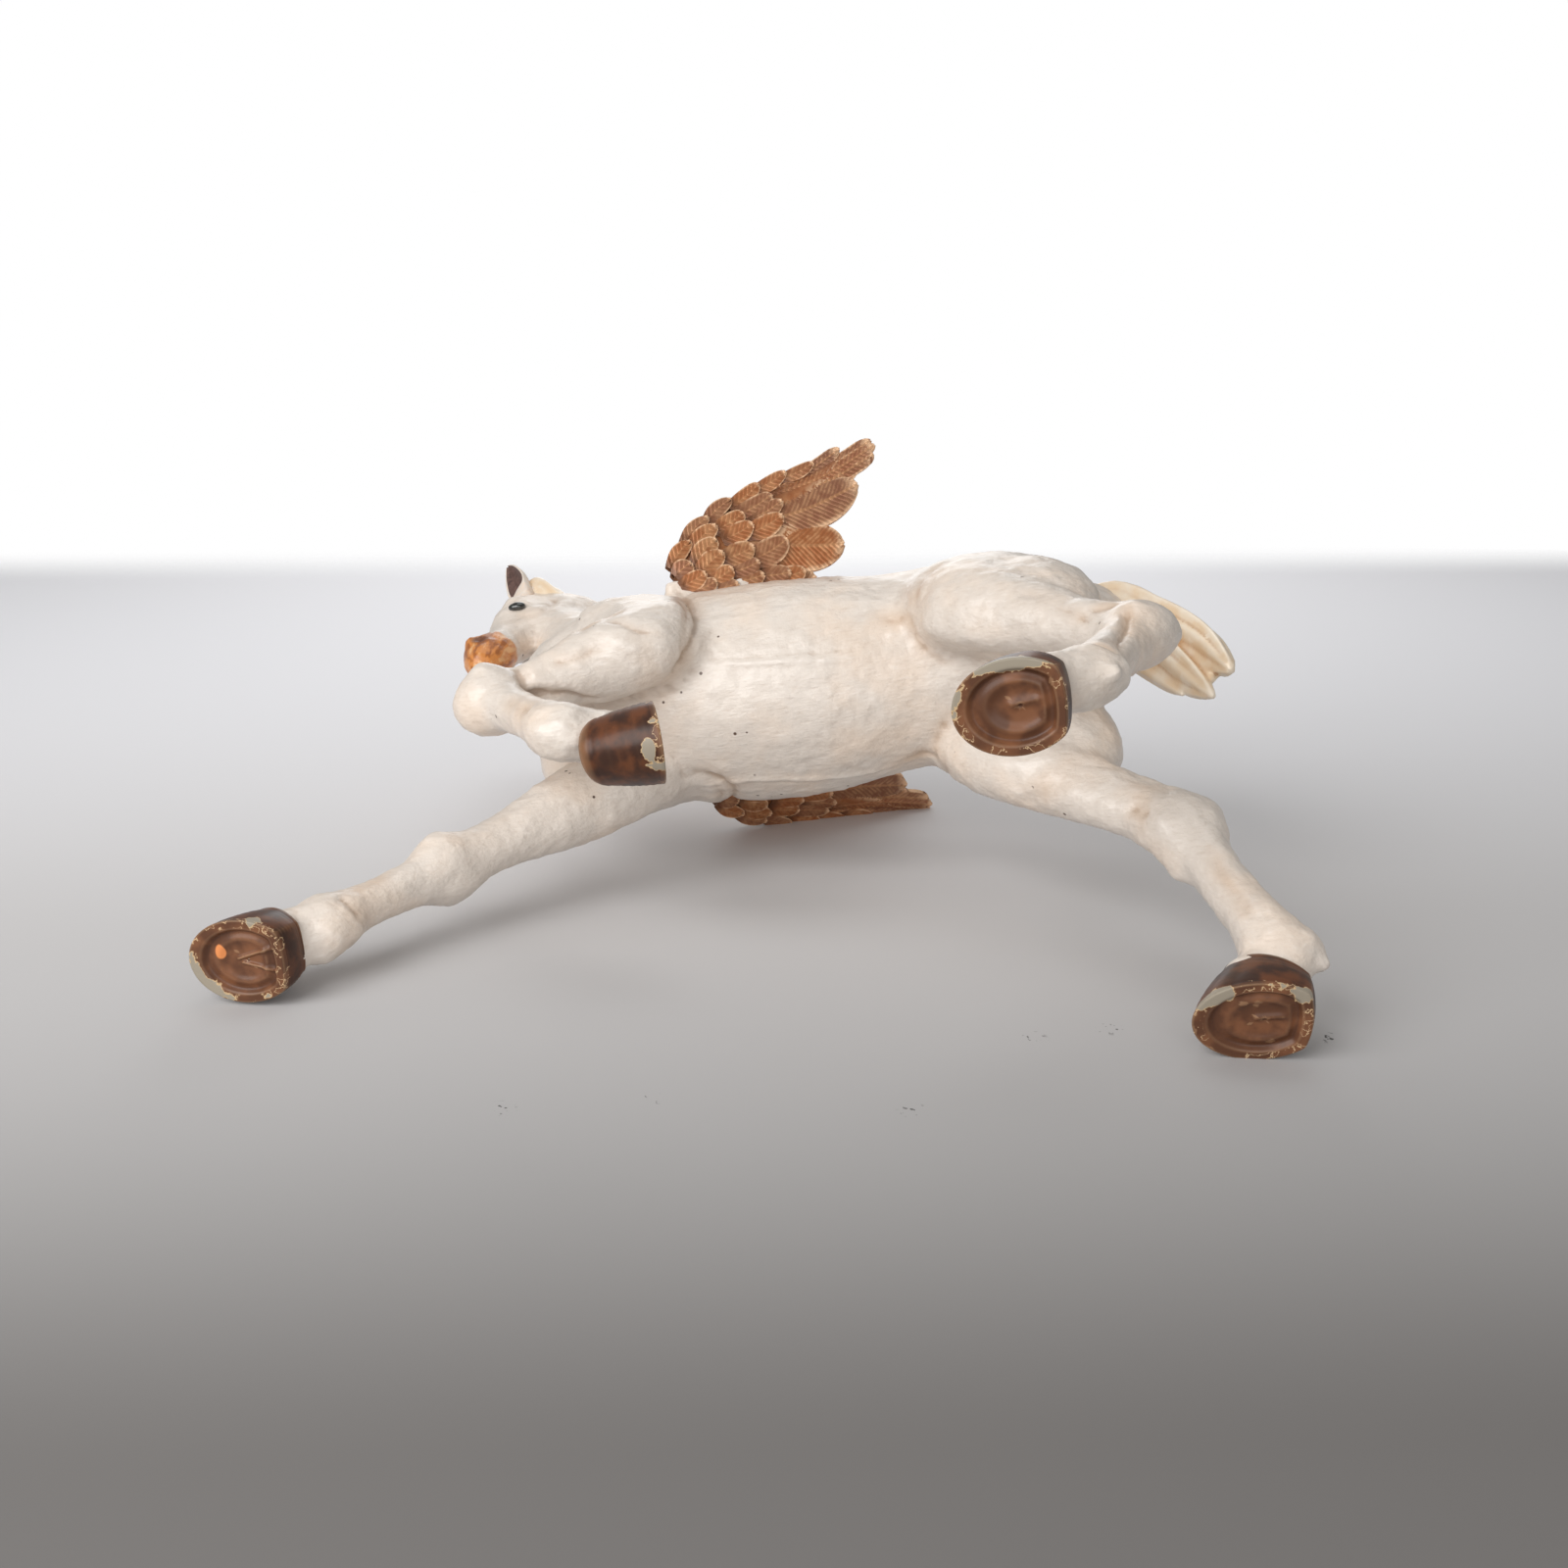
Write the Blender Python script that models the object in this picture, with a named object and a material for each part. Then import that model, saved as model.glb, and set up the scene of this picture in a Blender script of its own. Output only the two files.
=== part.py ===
"""A winged foal figurine, moulded in one piece and standing on three hooves.

Metres, +Z up, soles on Z = 0, head towards -Y and its left side towards +X.
"""

import math

import bmesh
import bpy
from mathutils import Matrix, Vector

# Trunk: half widths and half heights of its rings, from chest to buttock
CHEST_WIDTH = 0.0184
GIRTH_WIDTH = 0.0238
BARREL_WIDTH = 0.0254
FLANK_WIDTH = 0.0226
CROUP_WIDTH = 0.0228
CHEST_DEPTH = 0.0228
GIRTH_DEPTH = 0.0275
BARREL_DEPTH = 0.0268
FLANK_DEPTH = 0.0245
CROUP_DEPTH = 0.0245
CHEST = Vector((0.0008, -0.0232, 0.0503))
GIRTH = Vector((0.0005, -0.0140, 0.0515))
BARREL = Vector((0.0000, 0.0010, 0.0508))
FLANK = Vector((0.0000, 0.0130, 0.0520))
CROUP = Vector((0.0000, 0.0245, 0.0535))
BUTTOCK = Vector((0.0000, 0.0325, 0.0530))

# Neck, bent a little to its left, and head, held upright
WITHERS = Vector((0.0010, -0.0150, 0.0632))
WITHERS_LENGTH = 0.0140
WITHERS_WIDTH = 0.0078
NECK_ROOT = Vector((0.0016, -0.0198, 0.0575))
NECK_MIDDLE = Vector((0.0048, -0.0275, 0.0680))
THROAT = Vector((0.0068, -0.0325, 0.0760))
POLL = Vector((0.0075, -0.0376, 0.0820))
BROW = Vector((0.0074, -0.0394, 0.0783))
CHEEK = Vector((0.0072, -0.0391, 0.0735))
NOSE = Vector((0.0070, -0.0399, 0.0675))
MUZZLE = Vector((0.0069, -0.0404, 0.0620))
LIPS = Vector((0.0068, -0.0402, 0.0592))
NECK_ROOT_WIDTH = 0.0176
NECK_WIDTH = 0.0100
THROAT_WIDTH = 0.0082
NECK_ROOT_DEPTH = 0.0262
NECK_DEPTH = 0.0160
THROAT_DEPTH = 0.0120
BROW_WIDTH = 0.0090
CHEEK_WIDTH = 0.0082
NOSE_WIDTH = 0.0056
MUZZLE_WIDTH = 0.0060
BROW_DEPTH = 0.0090
CHEEK_DEPTH = 0.0100
NOSE_DEPTH = 0.0062
MUZZLE_DEPTH = 0.0066
EYE_SIZE = 0.0016
EYE_HEIGHT = 0.0758
NOSTRIL_SIZE = 0.0018
EAR_LENGTH = 0.0085
EAR_WIDTH = 0.0042
EAR_THICKNESS = 0.0018

# Fore legs: the right one reaches forward, the left one is raised with its hoof folded back
RIGHT_ELBOW = Vector((-0.0052, -0.0185, 0.0400))
RIGHT_KNEE = Vector((-0.0071, -0.0348, 0.0212))
RIGHT_FETLOCK = Vector((-0.0068, -0.0425, 0.0082))
RIGHT_FORE_SOLE = Vector((-0.0067, -0.0468, 0.0))
LEFT_ELBOW = Vector((0.0097, -0.0135, 0.0400))
LEFT_KNEE = Vector((0.0082, -0.0284, 0.0295))
LEFT_FETLOCK = Vector((0.0068, -0.0180, 0.0180))
LEFT_FORE_SOLE = Vector((0.0036, -0.0078, 0.0180))
SHOULDER_WIDTH = 0.0110
ELBOW_WIDTH = 0.0090
ELBOW_DEPTH = 0.0125
FOREARM_WIDTH = 0.0068
FOREARM_DEPTH = 0.0074
KNEE_WIDTH = 0.0074
KNEE_DEPTH = 0.0070
CANNON_WIDTH = 0.0049
CANNON_DEPTH = 0.0053
FETLOCK_WIDTH = 0.0062
FETLOCK_DEPTH = 0.0072

# Hind legs: the right one is stretched back and out, the left one stands forward under the body
RIGHT_STIFLE = Vector((-0.0078, 0.0215, 0.0435))
RIGHT_HOCK = Vector((-0.0137, 0.0408, 0.0245))
RIGHT_HIND_FETLOCK = Vector((-0.0202, 0.0468, 0.0088))
LEFT_STIFLE = Vector((0.0085, 0.0205, 0.0435))
LEFT_HOCK = Vector((0.0062, 0.0385, 0.0265))
LEFT_HIND_FETLOCK = Vector((0.0072, 0.0330, 0.0092))
LEFT_HIND_SOLE = Vector((0.0078, 0.0275, 0.0))
THIGH_WIDTH = 0.0110
THIGH_DEPTH = 0.0200
STIFLE_WIDTH = 0.0095
STIFLE_DEPTH = 0.0125
GASKIN_WIDTH = 0.0070
GASKIN_DEPTH = 0.0085
HOCK_WIDTH = 0.0070
HOCK_DEPTH = 0.0087
HIND_CANNON_WIDTH = 0.0052
HIND_CANNON_DEPTH = 0.0056

# Hooves
HOOF_LENGTH = 0.0100
HOOF_WIDTH = 0.0084
HOOF_HEIGHT = 0.0072
HEEL_HEIGHT = 0.0036
CORONET_LENGTH = 0.0068
CORONET_WIDTH = 0.0068
HOOF_SPLAY = math.radians(13)
RIGHT_HIND_SOLE = Vector((-0.0233, 0.0442, HOOF_WIDTH / 2 * math.sin(HOOF_SPLAY)))
SOLE_BORDER = 0.0013
SOLE_HOLLOW = 0.0004
FROG_LENGTH = 0.0052
FROG_WIDTH = 0.0036

# Tail
TAIL_ROOT = Vector((0.0022, 0.0325, 0.0605))
TAIL_BEND = Vector((0.0007, 0.0396, 0.0562))
TAIL_MIDDLE = Vector((-0.0016, 0.0446, 0.0478))
TAIL_TIP = Vector((-0.0028, 0.0480, 0.0390))
TAIL_WIDTH = 0.0082
TAIL_THICKNESS = 0.0042
TAIL_LOCKS = 5

# Wings: in its own plane, a wing runs from its root towards its tip, and from leading to trailing edge
WING_ROOT = Vector((0.0120, -0.0130, 0.0570))
WING_TIP = Vector((0.0247, 0.0105, 0.0750))
WING_ROOT_BACK = Vector((0.0095, 0.0010, 0.0620))
WING_THICKNESS = 0.0022
WING_CAMBER = 0.0010
FEATHER_THICKNESS = 0.0009
COVERT_ROWS = 6
COVERT_START = 0.0035
COVERT_SPACING = 0.0028
COVERT_WIDTH = 0.0028
# Distance from the root, then the plate's leading and trailing edge there
WING_STATIONS = (
    (-0.0010, -0.0010, 0.0030),
    (0.0020, -0.0038, 0.0040),
    (0.0060, -0.0057, 0.0062),
    (0.0110, -0.0057, 0.0085),
    (0.0160, -0.0050, 0.0070),
    (0.0210, -0.0037, 0.0045),
    (0.0260, -0.0025, 0.0020),
    (0.0290, -0.0015, 0.0006),
)
# Where each long feather starts and ends in the wing's plane, and its width
FLIGHT_FEATHERS = (
    ((0.0160, -0.0045), (0.0318, -0.0008), 0.0026),
    ((0.0160, -0.0030), (0.0322, 0.0002), 0.0026),
    ((0.0150, -0.0015), (0.0308, 0.0012), 0.0028),
    ((0.0130, 0.0000), (0.0276, 0.0026), 0.0032),
    ((0.0120, 0.0010), (0.0262, 0.0040), 0.0034),
    ((0.0110, 0.0020), (0.0240, 0.0046), 0.0036),
    ((0.0090, 0.0030), (0.0216, 0.0064), 0.0040),
    ((0.0080, 0.0045), (0.0190, 0.0080), 0.0042),
    ((0.0060, 0.0055), (0.0160, 0.0088), 0.0042),
)

# Mane
MANE_HEIGHT = 0.0036
MANE_THICKNESS = 0.0032
MANE_LOCK = 0.0046

# Mesh
FLESH_GRAIN = 0.0005
FLESH_SMOOTHING = 16
GRAIN = 0.00035
SMOOTHING = 1
TRIANGLES = 9800
SHARP_ANGLE = math.radians(42)
PAINT = (0.72, 0.66, 0.60, 1.0)
PAINT_ROUGHNESS = 0.45

LEFT = Vector((1.0, 0.0, 0.0))
UP = Vector((0.0, 0.0, 1.0))
FORWARD = Vector((0.0, -1.0, 0.0))


def smoothed(rows, steps=4):
    """Rows of numbers with steps between each two, along a smooth curve through them."""
    out = []
    for i in range(len(rows) - 1):
        a, b, c, d = rows[max(i - 1, 0)], rows[i], rows[i + 1], rows[min(i + 2, len(rows) - 1)]
        for k in range(steps):
            t = k / steps
            row = []
            for p, q, r, s in zip(a, b, c, d):
                bend = (2 * p - 5 * q + 4 * r - s) * t ** 2 + (3 * q - p - 3 * r + s) * t ** 3
                row.append(q + ((r - p) * t + bend) / 2)
            out.append(row)
    out.append(list(rows[-1]))
    return out


def add_tube(shell, stations, side, sides=20):
    """A closed round-ended tube through stations of (place, width, depth), its widths running along side."""
    rows = smoothed([(*place, width / 2, depth / 2) for place, width, depth in stations])
    rings = []
    for i, row in enumerate(rows):
        along = Vector(rows[min(i + 1, len(rows) - 1)][:3]) - Vector(rows[max(i - 1, 0)][:3])
        along.normalize()
        across = (side - along * side.dot(along)).normalized()
        rings.append((Vector(row[:3]), along, across * row[3], along.cross(across) * row[4]))
    domes = []
    for (place, along, across, back), way in ((rings[0], -1), (rings[-1], 1)):
        reach = min(across.length, back.length) * way
        dome = []
        for turn in (30, 60, 85):
            angle = math.radians(turn)
            top, share = place + along * reach * math.sin(angle), math.cos(angle)
            dome.append((top, along, across * share, back * share))
        domes.append(dome)
    add_rings(shell, domes[0][::-1] + rings + domes[1], sides)


def add_rings(shell, rings, sides):
    """A closed skin over rings of (place, along, across, back)."""
    rows = []
    for place, _, across, back in rings:
        row = []
        for k in range(sides):
            angle = 2 * math.pi * k / sides
            row.append(shell.verts.new(place + across * math.cos(angle) + back * math.sin(angle)))
        rows.append(row)
    skin_rows(shell, rows)


def skin_rows(shell, rows):
    """Faces between rows of as many points each, and over the first and last row."""
    sides = len(rows[0])
    for low, high in zip(rows, rows[1:]):
        for k in range(sides):
            shell.faces.new((low[k], low[(k + 1) % sides], high[(k + 1) % sides], high[k]))
    shell.faces.new(rows[0][::-1])
    shell.faces.new(rows[-1])


def add_blob(shell, place, width, depth, length, along=UP, side=LEFT):
    """An ellipsoid as long as length in the direction along, and as wide as width in the direction side."""
    along = along.normalized()
    across = (side - along * side.dot(along)).normalized()
    back = along.cross(across)
    turn = Matrix((across * width / 2, back * depth / 2, along * length / 2)).transposed().to_4x4()
    bmesh.ops.create_icosphere(shell, subdivisions=3, radius=1.0, matrix=Matrix.Translation(place) @ turn)


def add_trunk(shell):
    """Chest, barrel and croup, with the withers."""
    add_tube(shell, [
        (CHEST, CHEST_WIDTH, CHEST_DEPTH),
        (GIRTH, GIRTH_WIDTH, GIRTH_DEPTH),
        (BARREL, BARREL_WIDTH, BARREL_DEPTH),
        (FLANK, FLANK_WIDTH, FLANK_DEPTH),
        (CROUP, CROUP_WIDTH, CROUP_DEPTH),
        (BUTTOCK, CROUP_WIDTH * 0.66, CROUP_DEPTH * 0.7),
    ], LEFT, 32)
    add_tube(shell, [
        (WITHERS + FORWARD * WITHERS_LENGTH * 0.4, WITHERS_WIDTH * 1.2, WITHERS_WIDTH),
        (WITHERS, WITHERS_WIDTH * 1.1, WITHERS_WIDTH),
        (WITHERS + Vector((0.0, 0.6, -0.09)) * WITHERS_LENGTH, WITHERS_WIDTH, WITHERS_WIDTH * 0.7),
        (WITHERS + Vector((0.0, 1.0, -0.23)) * WITHERS_LENGTH, WITHERS_WIDTH * 0.8, WITHERS_WIDTH * 0.5),
    ], LEFT, 20)
    for way in (-1, 1):
        breast = CHEST + Vector((way * CHEST_WIDTH * 0.27, -CHEST_DEPTH * 0.02, -CHEST_DEPTH * 0.08))
        add_blob(shell, breast, CHEST_WIDTH * 0.62, CHEST_DEPTH * 0.66, CHEST_DEPTH * 0.9)
    add_tube(shell, [
        (NECK_MIDDLE.lerp(NECK_ROOT, 0.4) + FORWARD * NECK_DEPTH * 0.12, NECK_WIDTH, NECK_DEPTH * 0.6),
        (NECK_ROOT.lerp(CHEST, 0.25) + FORWARD * CHEST_DEPTH * 0.24, CHEST_WIDTH * 0.8, CHEST_DEPTH * 0.45),
        (CHEST + FORWARD * CHEST_DEPTH * 0.13, CHEST_WIDTH * 0.7, CHEST_DEPTH * 0.5),
        (CHEST + Vector((0.0, -0.02, -0.3)) * CHEST_DEPTH, CHEST_WIDTH * 0.7, CHEST_DEPTH * 0.45),
    ], LEFT, 24)


def add_neck_and_head(shell):
    """Neck, skull, cheeks, and muzzle with its lips and chin."""
    add_tube(shell, [
        (NECK_ROOT, NECK_ROOT_WIDTH, NECK_ROOT_DEPTH),
        (NECK_MIDDLE, NECK_WIDTH, NECK_DEPTH),
        (THROAT, THROAT_WIDTH, THROAT_DEPTH),
        (POLL, THROAT_WIDTH * 0.9, THROAT_DEPTH * 0.6),
    ], LEFT, 24)
    add_tube(shell, [
        (POLL, BROW_WIDTH * 0.75, BROW_DEPTH * 0.7),
        (BROW, BROW_WIDTH, BROW_DEPTH),
        (CHEEK, CHEEK_WIDTH, CHEEK_DEPTH),
        (NOSE, NOSE_WIDTH, NOSE_DEPTH),
        (MUZZLE, MUZZLE_WIDTH, MUZZLE_DEPTH),
        (LIPS, MUZZLE_WIDTH * 0.8, MUZZLE_DEPTH * 0.75),
    ], LEFT, 24)
    jaw = CHEEK - FORWARD * CHEEK_DEPTH * 0.26 + UP * CHEEK_DEPTH * 0.04
    add_blob(shell, jaw, CHEEK_WIDTH * 0.92, CHEEK_DEPTH * 0.86, CHEEK_DEPTH * 0.98)
    chin = LIPS - FORWARD * MUZZLE_DEPTH * 0.18 + UP * MUZZLE_DEPTH * 0.06
    add_blob(shell, chin, MUZZLE_WIDTH * 0.6, MUZZLE_DEPTH * 0.5, MUZZLE_DEPTH * 0.6)


def add_face_details(shell):
    """Eyes under their brows, nostrils, and both ears."""
    for way in (-1, 1):
        eye = Vector((BROW.x + way * BROW_WIDTH * 0.43, BROW.y - BROW_DEPTH * 0.12, EYE_HEIGHT))
        add_blob(shell, eye, EYE_SIZE, EYE_SIZE * 1.5, EYE_SIZE * 1.1)
        lid = eye + UP * EYE_SIZE * 0.55
        add_blob(shell, lid, EYE_SIZE * 1.1, EYE_SIZE * 2.2, EYE_SIZE * 0.7)
        nostril = MUZZLE + Vector((way * MUZZLE_WIDTH * 0.36, -MUZZLE_DEPTH * 0.26, 0.0))
        add_blob(shell, nostril, NOSTRIL_SIZE, NOSTRIL_SIZE * 1.1, NOSTRIL_SIZE * 1.5)
        ear = POLL + LEFT * way * BROW_WIDTH * 0.34 + FORWARD * BROW_DEPTH * 0.2
        aim = Vector((way * 0.42, -0.52, 0.74)).normalized()
        add_tube(shell, [
            (ear, EAR_WIDTH * 0.75, EAR_THICKNESS * 1.3),
            (ear + aim * EAR_LENGTH * 0.4, EAR_WIDTH, EAR_THICKNESS * 1.1),
            (ear + aim * EAR_LENGTH * 0.75, EAR_WIDTH * 0.62, EAR_THICKNESS),
            (ear + aim * EAR_LENGTH, EAR_WIDTH * 0.2, EAR_THICKNESS * 0.6),
        ], Vector((0.75, way * 0.6, 0.0)), 12)


def add_lower_leg(flesh, joint, fetlock, sole, toe, up, width, depth):
    """Cannon, fetlock and pastern from a knee or hock down to the hoof's coronet."""
    coronet = sole + up * (HOOF_HEIGHT + HEEL_HEIGHT) / 2 - toe * (HOOF_LENGTH - CORONET_LENGTH) * 0.55
    add_tube(flesh, [
        (joint, width * 1.25, depth * 1.25),
        (joint.lerp(fetlock, 0.3), width * 1.02, depth),
        (joint.lerp(fetlock, 0.7), width, depth * 0.96),
        (fetlock, FETLOCK_WIDTH, FETLOCK_DEPTH),
        (fetlock.lerp(coronet, 0.6), FETLOCK_WIDTH * 0.9, FETLOCK_DEPTH * 0.86),
        (coronet, CORONET_WIDTH * 0.9, CORONET_LENGTH * 0.88),
    ], LEFT, 20)
    heel = (fetlock - joint).normalized().lerp(-toe, 0.75)
    ergot = fetlock - toe * FETLOCK_DEPTH * 0.26
    add_blob(flesh, ergot, FETLOCK_WIDTH * 0.72, FETLOCK_DEPTH * 0.5, FETLOCK_DEPTH * 0.75, heel)


def add_fore_leg(flesh, elbow, knee, fetlock, sole, toe, up, way):
    """Shoulder, forearm and knee of one side, then its lower leg."""
    shoulder = GIRTH + Vector((way * GIRTH_WIDTH * 0.30, -GIRTH_DEPTH * 0.13, 0.0))
    blade = WITHERS + Vector((way * GIRTH_WIDTH * 0.17, 0.0, -GIRTH_DEPTH * 0.12))
    add_tube(flesh, [
        (blade, SHOULDER_WIDTH * 0.55, ELBOW_DEPTH * 0.7),
        (blade.lerp(shoulder, 0.5), SHOULDER_WIDTH * 0.85, ELBOW_DEPTH * 1.15),
        (shoulder, SHOULDER_WIDTH, ELBOW_DEPTH * 1.3),
        (elbow, ELBOW_WIDTH, ELBOW_DEPTH),
        (elbow.lerp(knee, 0.35), FOREARM_WIDTH * 1.3, FOREARM_DEPTH * 1.2),
        (elbow.lerp(knee, 0.75), FOREARM_WIDTH * 0.85, FOREARM_DEPTH * 0.85),
        (knee, KNEE_WIDTH, KNEE_DEPTH),
    ], LEFT, 20)
    add_blob(flesh, knee, KNEE_WIDTH * 1.06, KNEE_DEPTH * 1.06, KNEE_DEPTH * 1.35, elbow - knee)
    add_lower_leg(flesh, knee, fetlock, sole, toe, up, CANNON_WIDTH, CANNON_DEPTH)


def add_hind_leg(flesh, stifle, hock, fetlock, sole, toe, up, way):
    """Haunch, thigh, gaskin and hock of one side, then its lower leg."""
    haunch = CROUP + Vector((way * CROUP_WIDTH * 0.27, 0.0005, 0.0))
    crest = CROUP + Vector((way * CROUP_WIDTH * 0.16, 0.0, CROUP_DEPTH * 0.22))
    seat = haunch.lerp(stifle, 0.45) + (hock - stifle).normalized() * THIGH_DEPTH * 0.30
    add_blob(flesh, seat, THIGH_WIDTH * 1.05, THIGH_DEPTH * 0.82, THIGH_DEPTH * 1.15, haunch - hock)
    add_tube(flesh, [
        (crest, THIGH_WIDTH * 0.7, THIGH_DEPTH * 0.6),
        (haunch, THIGH_WIDTH, THIGH_DEPTH),
        (haunch.lerp(stifle, 0.6), THIGH_WIDTH, THIGH_DEPTH * 0.92),
        (stifle.lerp(hock, 0.15), STIFLE_WIDTH, STIFLE_DEPTH),
        (stifle.lerp(hock, 0.45), GASKIN_WIDTH * 1.1, GASKIN_DEPTH * 1.1),
        (stifle.lerp(hock, 0.8), GASKIN_WIDTH * 0.8, GASKIN_DEPTH * 0.8),
        (hock, HOCK_WIDTH, HOCK_DEPTH),
    ], LEFT, 20)
    back = ((hock - stifle).normalized() + (hock - fetlock).normalized()).normalized()
    point = hock + back * HOCK_DEPTH * 0.32
    add_tube(flesh, [
        (stifle.lerp(hock, 0.45) + back * GASKIN_DEPTH * 0.25, GASKIN_WIDTH * 0.5, GASKIN_DEPTH * 0.4),
        (stifle.lerp(hock, 0.78) + back * GASKIN_DEPTH * 0.38, HOCK_WIDTH * 0.36, HOCK_DEPTH * 0.32),
        (point, HOCK_WIDTH * 0.55, HOCK_DEPTH * 0.5),
    ], LEFT, 12)
    add_blob(flesh, hock, HOCK_WIDTH, HOCK_DEPTH * 0.95, HOCK_DEPTH * 1.3, hock - fetlock)
    add_lower_leg(flesh, hock, fetlock, sole, toe, up, HIND_CANNON_WIDTH, HIND_CANNON_DEPTH)


def hoof_outline(length, width, count=24):
    """Points around a hoof as (towards the toe, across): round at the toe, flat at the heel."""
    points = []
    for k in range(count):
        angle = 2 * math.pi * k / count
        ahead = math.cos(angle)
        if ahead < -0.72:
            ahead = -0.72 + (ahead + 0.72) * 0.3
        points.append(((ahead + 0.1) * length / 1.9, math.sin(angle) * width / 2))
    return points


def add_hoof(shell, sole, toe, up):
    """A hoof whose wall slopes back from the toe, with its flat sole and its coronet rounded over."""
    toe = (toe - up * toe.dot(up)).normalized()
    across = up.cross(toe)
    rows = []
    for level, narrow in ((0.0, 0.05), (0.04, 0.0), (0.5, 0.45), (0.85, 0.9), (1.0, 1.3), (1.06, 1.8)):
        length = HOOF_LENGTH + (CORONET_LENGTH - HOOF_LENGTH) * narrow
        width = HOOF_WIDTH + (CORONET_WIDTH - HOOF_WIDTH) * narrow
        centre = sole - toe * (HOOF_LENGTH - CORONET_LENGTH) * 0.5 * min(level, 1.0)
        row = []
        for ahead, aside in hoof_outline(length, width):
            rise = HEEL_HEIGHT + (HOOF_HEIGHT - HEEL_HEIGHT) * (0.5 + ahead / length)
            row.append(shell.verts.new(centre + toe * ahead + across * aside + up * rise * level))
        rows.append(row)
    skin_rows(shell, rows)


def add_sole_hollow(shell, sole, toe, up):
    """What is cut out of one sole, inside its rim and around its frog."""
    toe = (toe - up * toe.dot(up)).normalized()
    across = up.cross(toe)
    inner = hoof_outline(HOOF_LENGTH - 2 * SOLE_BORDER, HOOF_WIDTH - 2 * SOLE_BORDER)
    heel = min(ahead for ahead, _ in inner)
    right = [p for p in inner[len(inner) // 2 + 1:] if p[1] < -FROG_WIDTH / 2]
    left = [p for p in inner[1:len(inner) // 2] if p[1] > FROG_WIDTH / 2]
    front = [p for p in inner if abs(p[1]) <= FROG_WIDTH / 2 and p[0] > 0]
    front.sort(key=lambda p: p[1])
    loop = right + front + left
    loop += [(heel, FROG_WIDTH / 2), (heel + FROG_LENGTH, 0.0), (heel, -FROG_WIDTH / 2)]
    rows = []
    for rise in (-SOLE_HOLLOW, SOLE_HOLLOW):
        rows.append([shell.verts.new(sole + toe * a + across * b + up * rise) for a, b in loop])
    skin_rows(shell, rows)


def wing_axes():
    """The left wing's own directions: root to tip, leading to trailing edge, and out of its underside."""
    span = WING_TIP - WING_ROOT
    out = (WING_ROOT_BACK - WING_ROOT).cross(span).normalized()
    span.normalize()
    return span, out.cross(span) * -1, out


def wing_edges(along):
    """Where the leading and trailing edge of the wing's plate lie, this far from its root."""
    along = max(along, WING_STATIONS[0][0])
    for low, high in zip(WING_STATIONS, WING_STATIONS[1:]):
        if along <= high[0]:
            break
    t = (along - low[0]) / (high[0] - low[0])
    return low[1] + (high[1] - low[1]) * t, low[2] + (high[2] - low[2]) * t


def wing_thickness(along):
    """How thick the wing's plate is, this far from its root."""
    return WING_THICKNESS * (1 - 0.6 * along / (WING_TIP - WING_ROOT).length)


def wing_place(way, along, chord, lift=0.0):
    """A point of one side's wing, from its distances in the wing's plane and its lift out of it."""
    span, back, out = wing_axes()
    camber = WING_CAMBER * math.sin(math.pi * min(max(along / (WING_TIP - WING_ROOT).length, 0.0), 1.0))
    place = WING_ROOT + span * along + back * chord + out * (lift - camber)
    return Vector((way * place.x, place.y, place.z))


def add_feather(shell, way, root, tip, width, lift=0.0):
    """A flat feather between two points of the wing's plane, lifted out of it at its tip."""
    span, back, _ = wing_axes()
    start = wing_place(way, *root)
    end = wing_place(way, *tip, lift)
    run = (tip[0] - root[0], tip[1] - root[1])
    aside = back * run[0] - span * run[1]
    aside.x *= way
    add_tube(shell, [
        (start, width * 0.7, FEATHER_THICKNESS),
        (start.lerp(end, 0.5), width, FEATHER_THICKNESS),
        (start.lerp(end, 0.85), width * 0.86, FEATHER_THICKNESS),
        (end, width * 0.3, FEATHER_THICKNESS * 0.7),
    ], aside.normalized(), 10)


def add_wing(shell, way):
    """One half-raised wing: its plate, the long flight feathers and the coverts on both faces."""
    plate = []
    for along, lead, trail in WING_STATIONS:
        plate.append((wing_place(way, along, (lead + trail) / 2), trail - lead, wing_thickness(along)))
    back = wing_axes()[1]
    side = Vector((way * back.x, back.y, back.z))
    add_tube(shell, plate, side, 24)
    for root, tip, width in FLIGHT_FEATHERS:
        add_feather(shell, way, root, tip, width)
    for row in range(COVERT_ROWS):
        along = COVERT_START + COVERT_SPACING * row
        lead, trail = wing_edges(along)
        count = max(3, round((trail - lead) / COVERT_WIDTH))
        for k in range(count):
            share = (k + 0.5 + 0.25 * (-1) ** row) / count
            before, behind = wing_edges(along - COVERT_SPACING)
            root = (along - COVERT_SPACING, before + (behind - before) * share)
            tip = (along + COVERT_SPACING * 0.5, lead + (trail - lead) * share)
            for face in (-1, 1):
                bulge = math.sqrt(max(0.05, 1 - (2 * share - 1) ** 2))
                lift = wing_thickness(along) / 2 * bulge + FEATHER_THICKNESS * 0.25
                add_feather(shell, way, root, tip, COVERT_WIDTH, face * lift)


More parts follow.
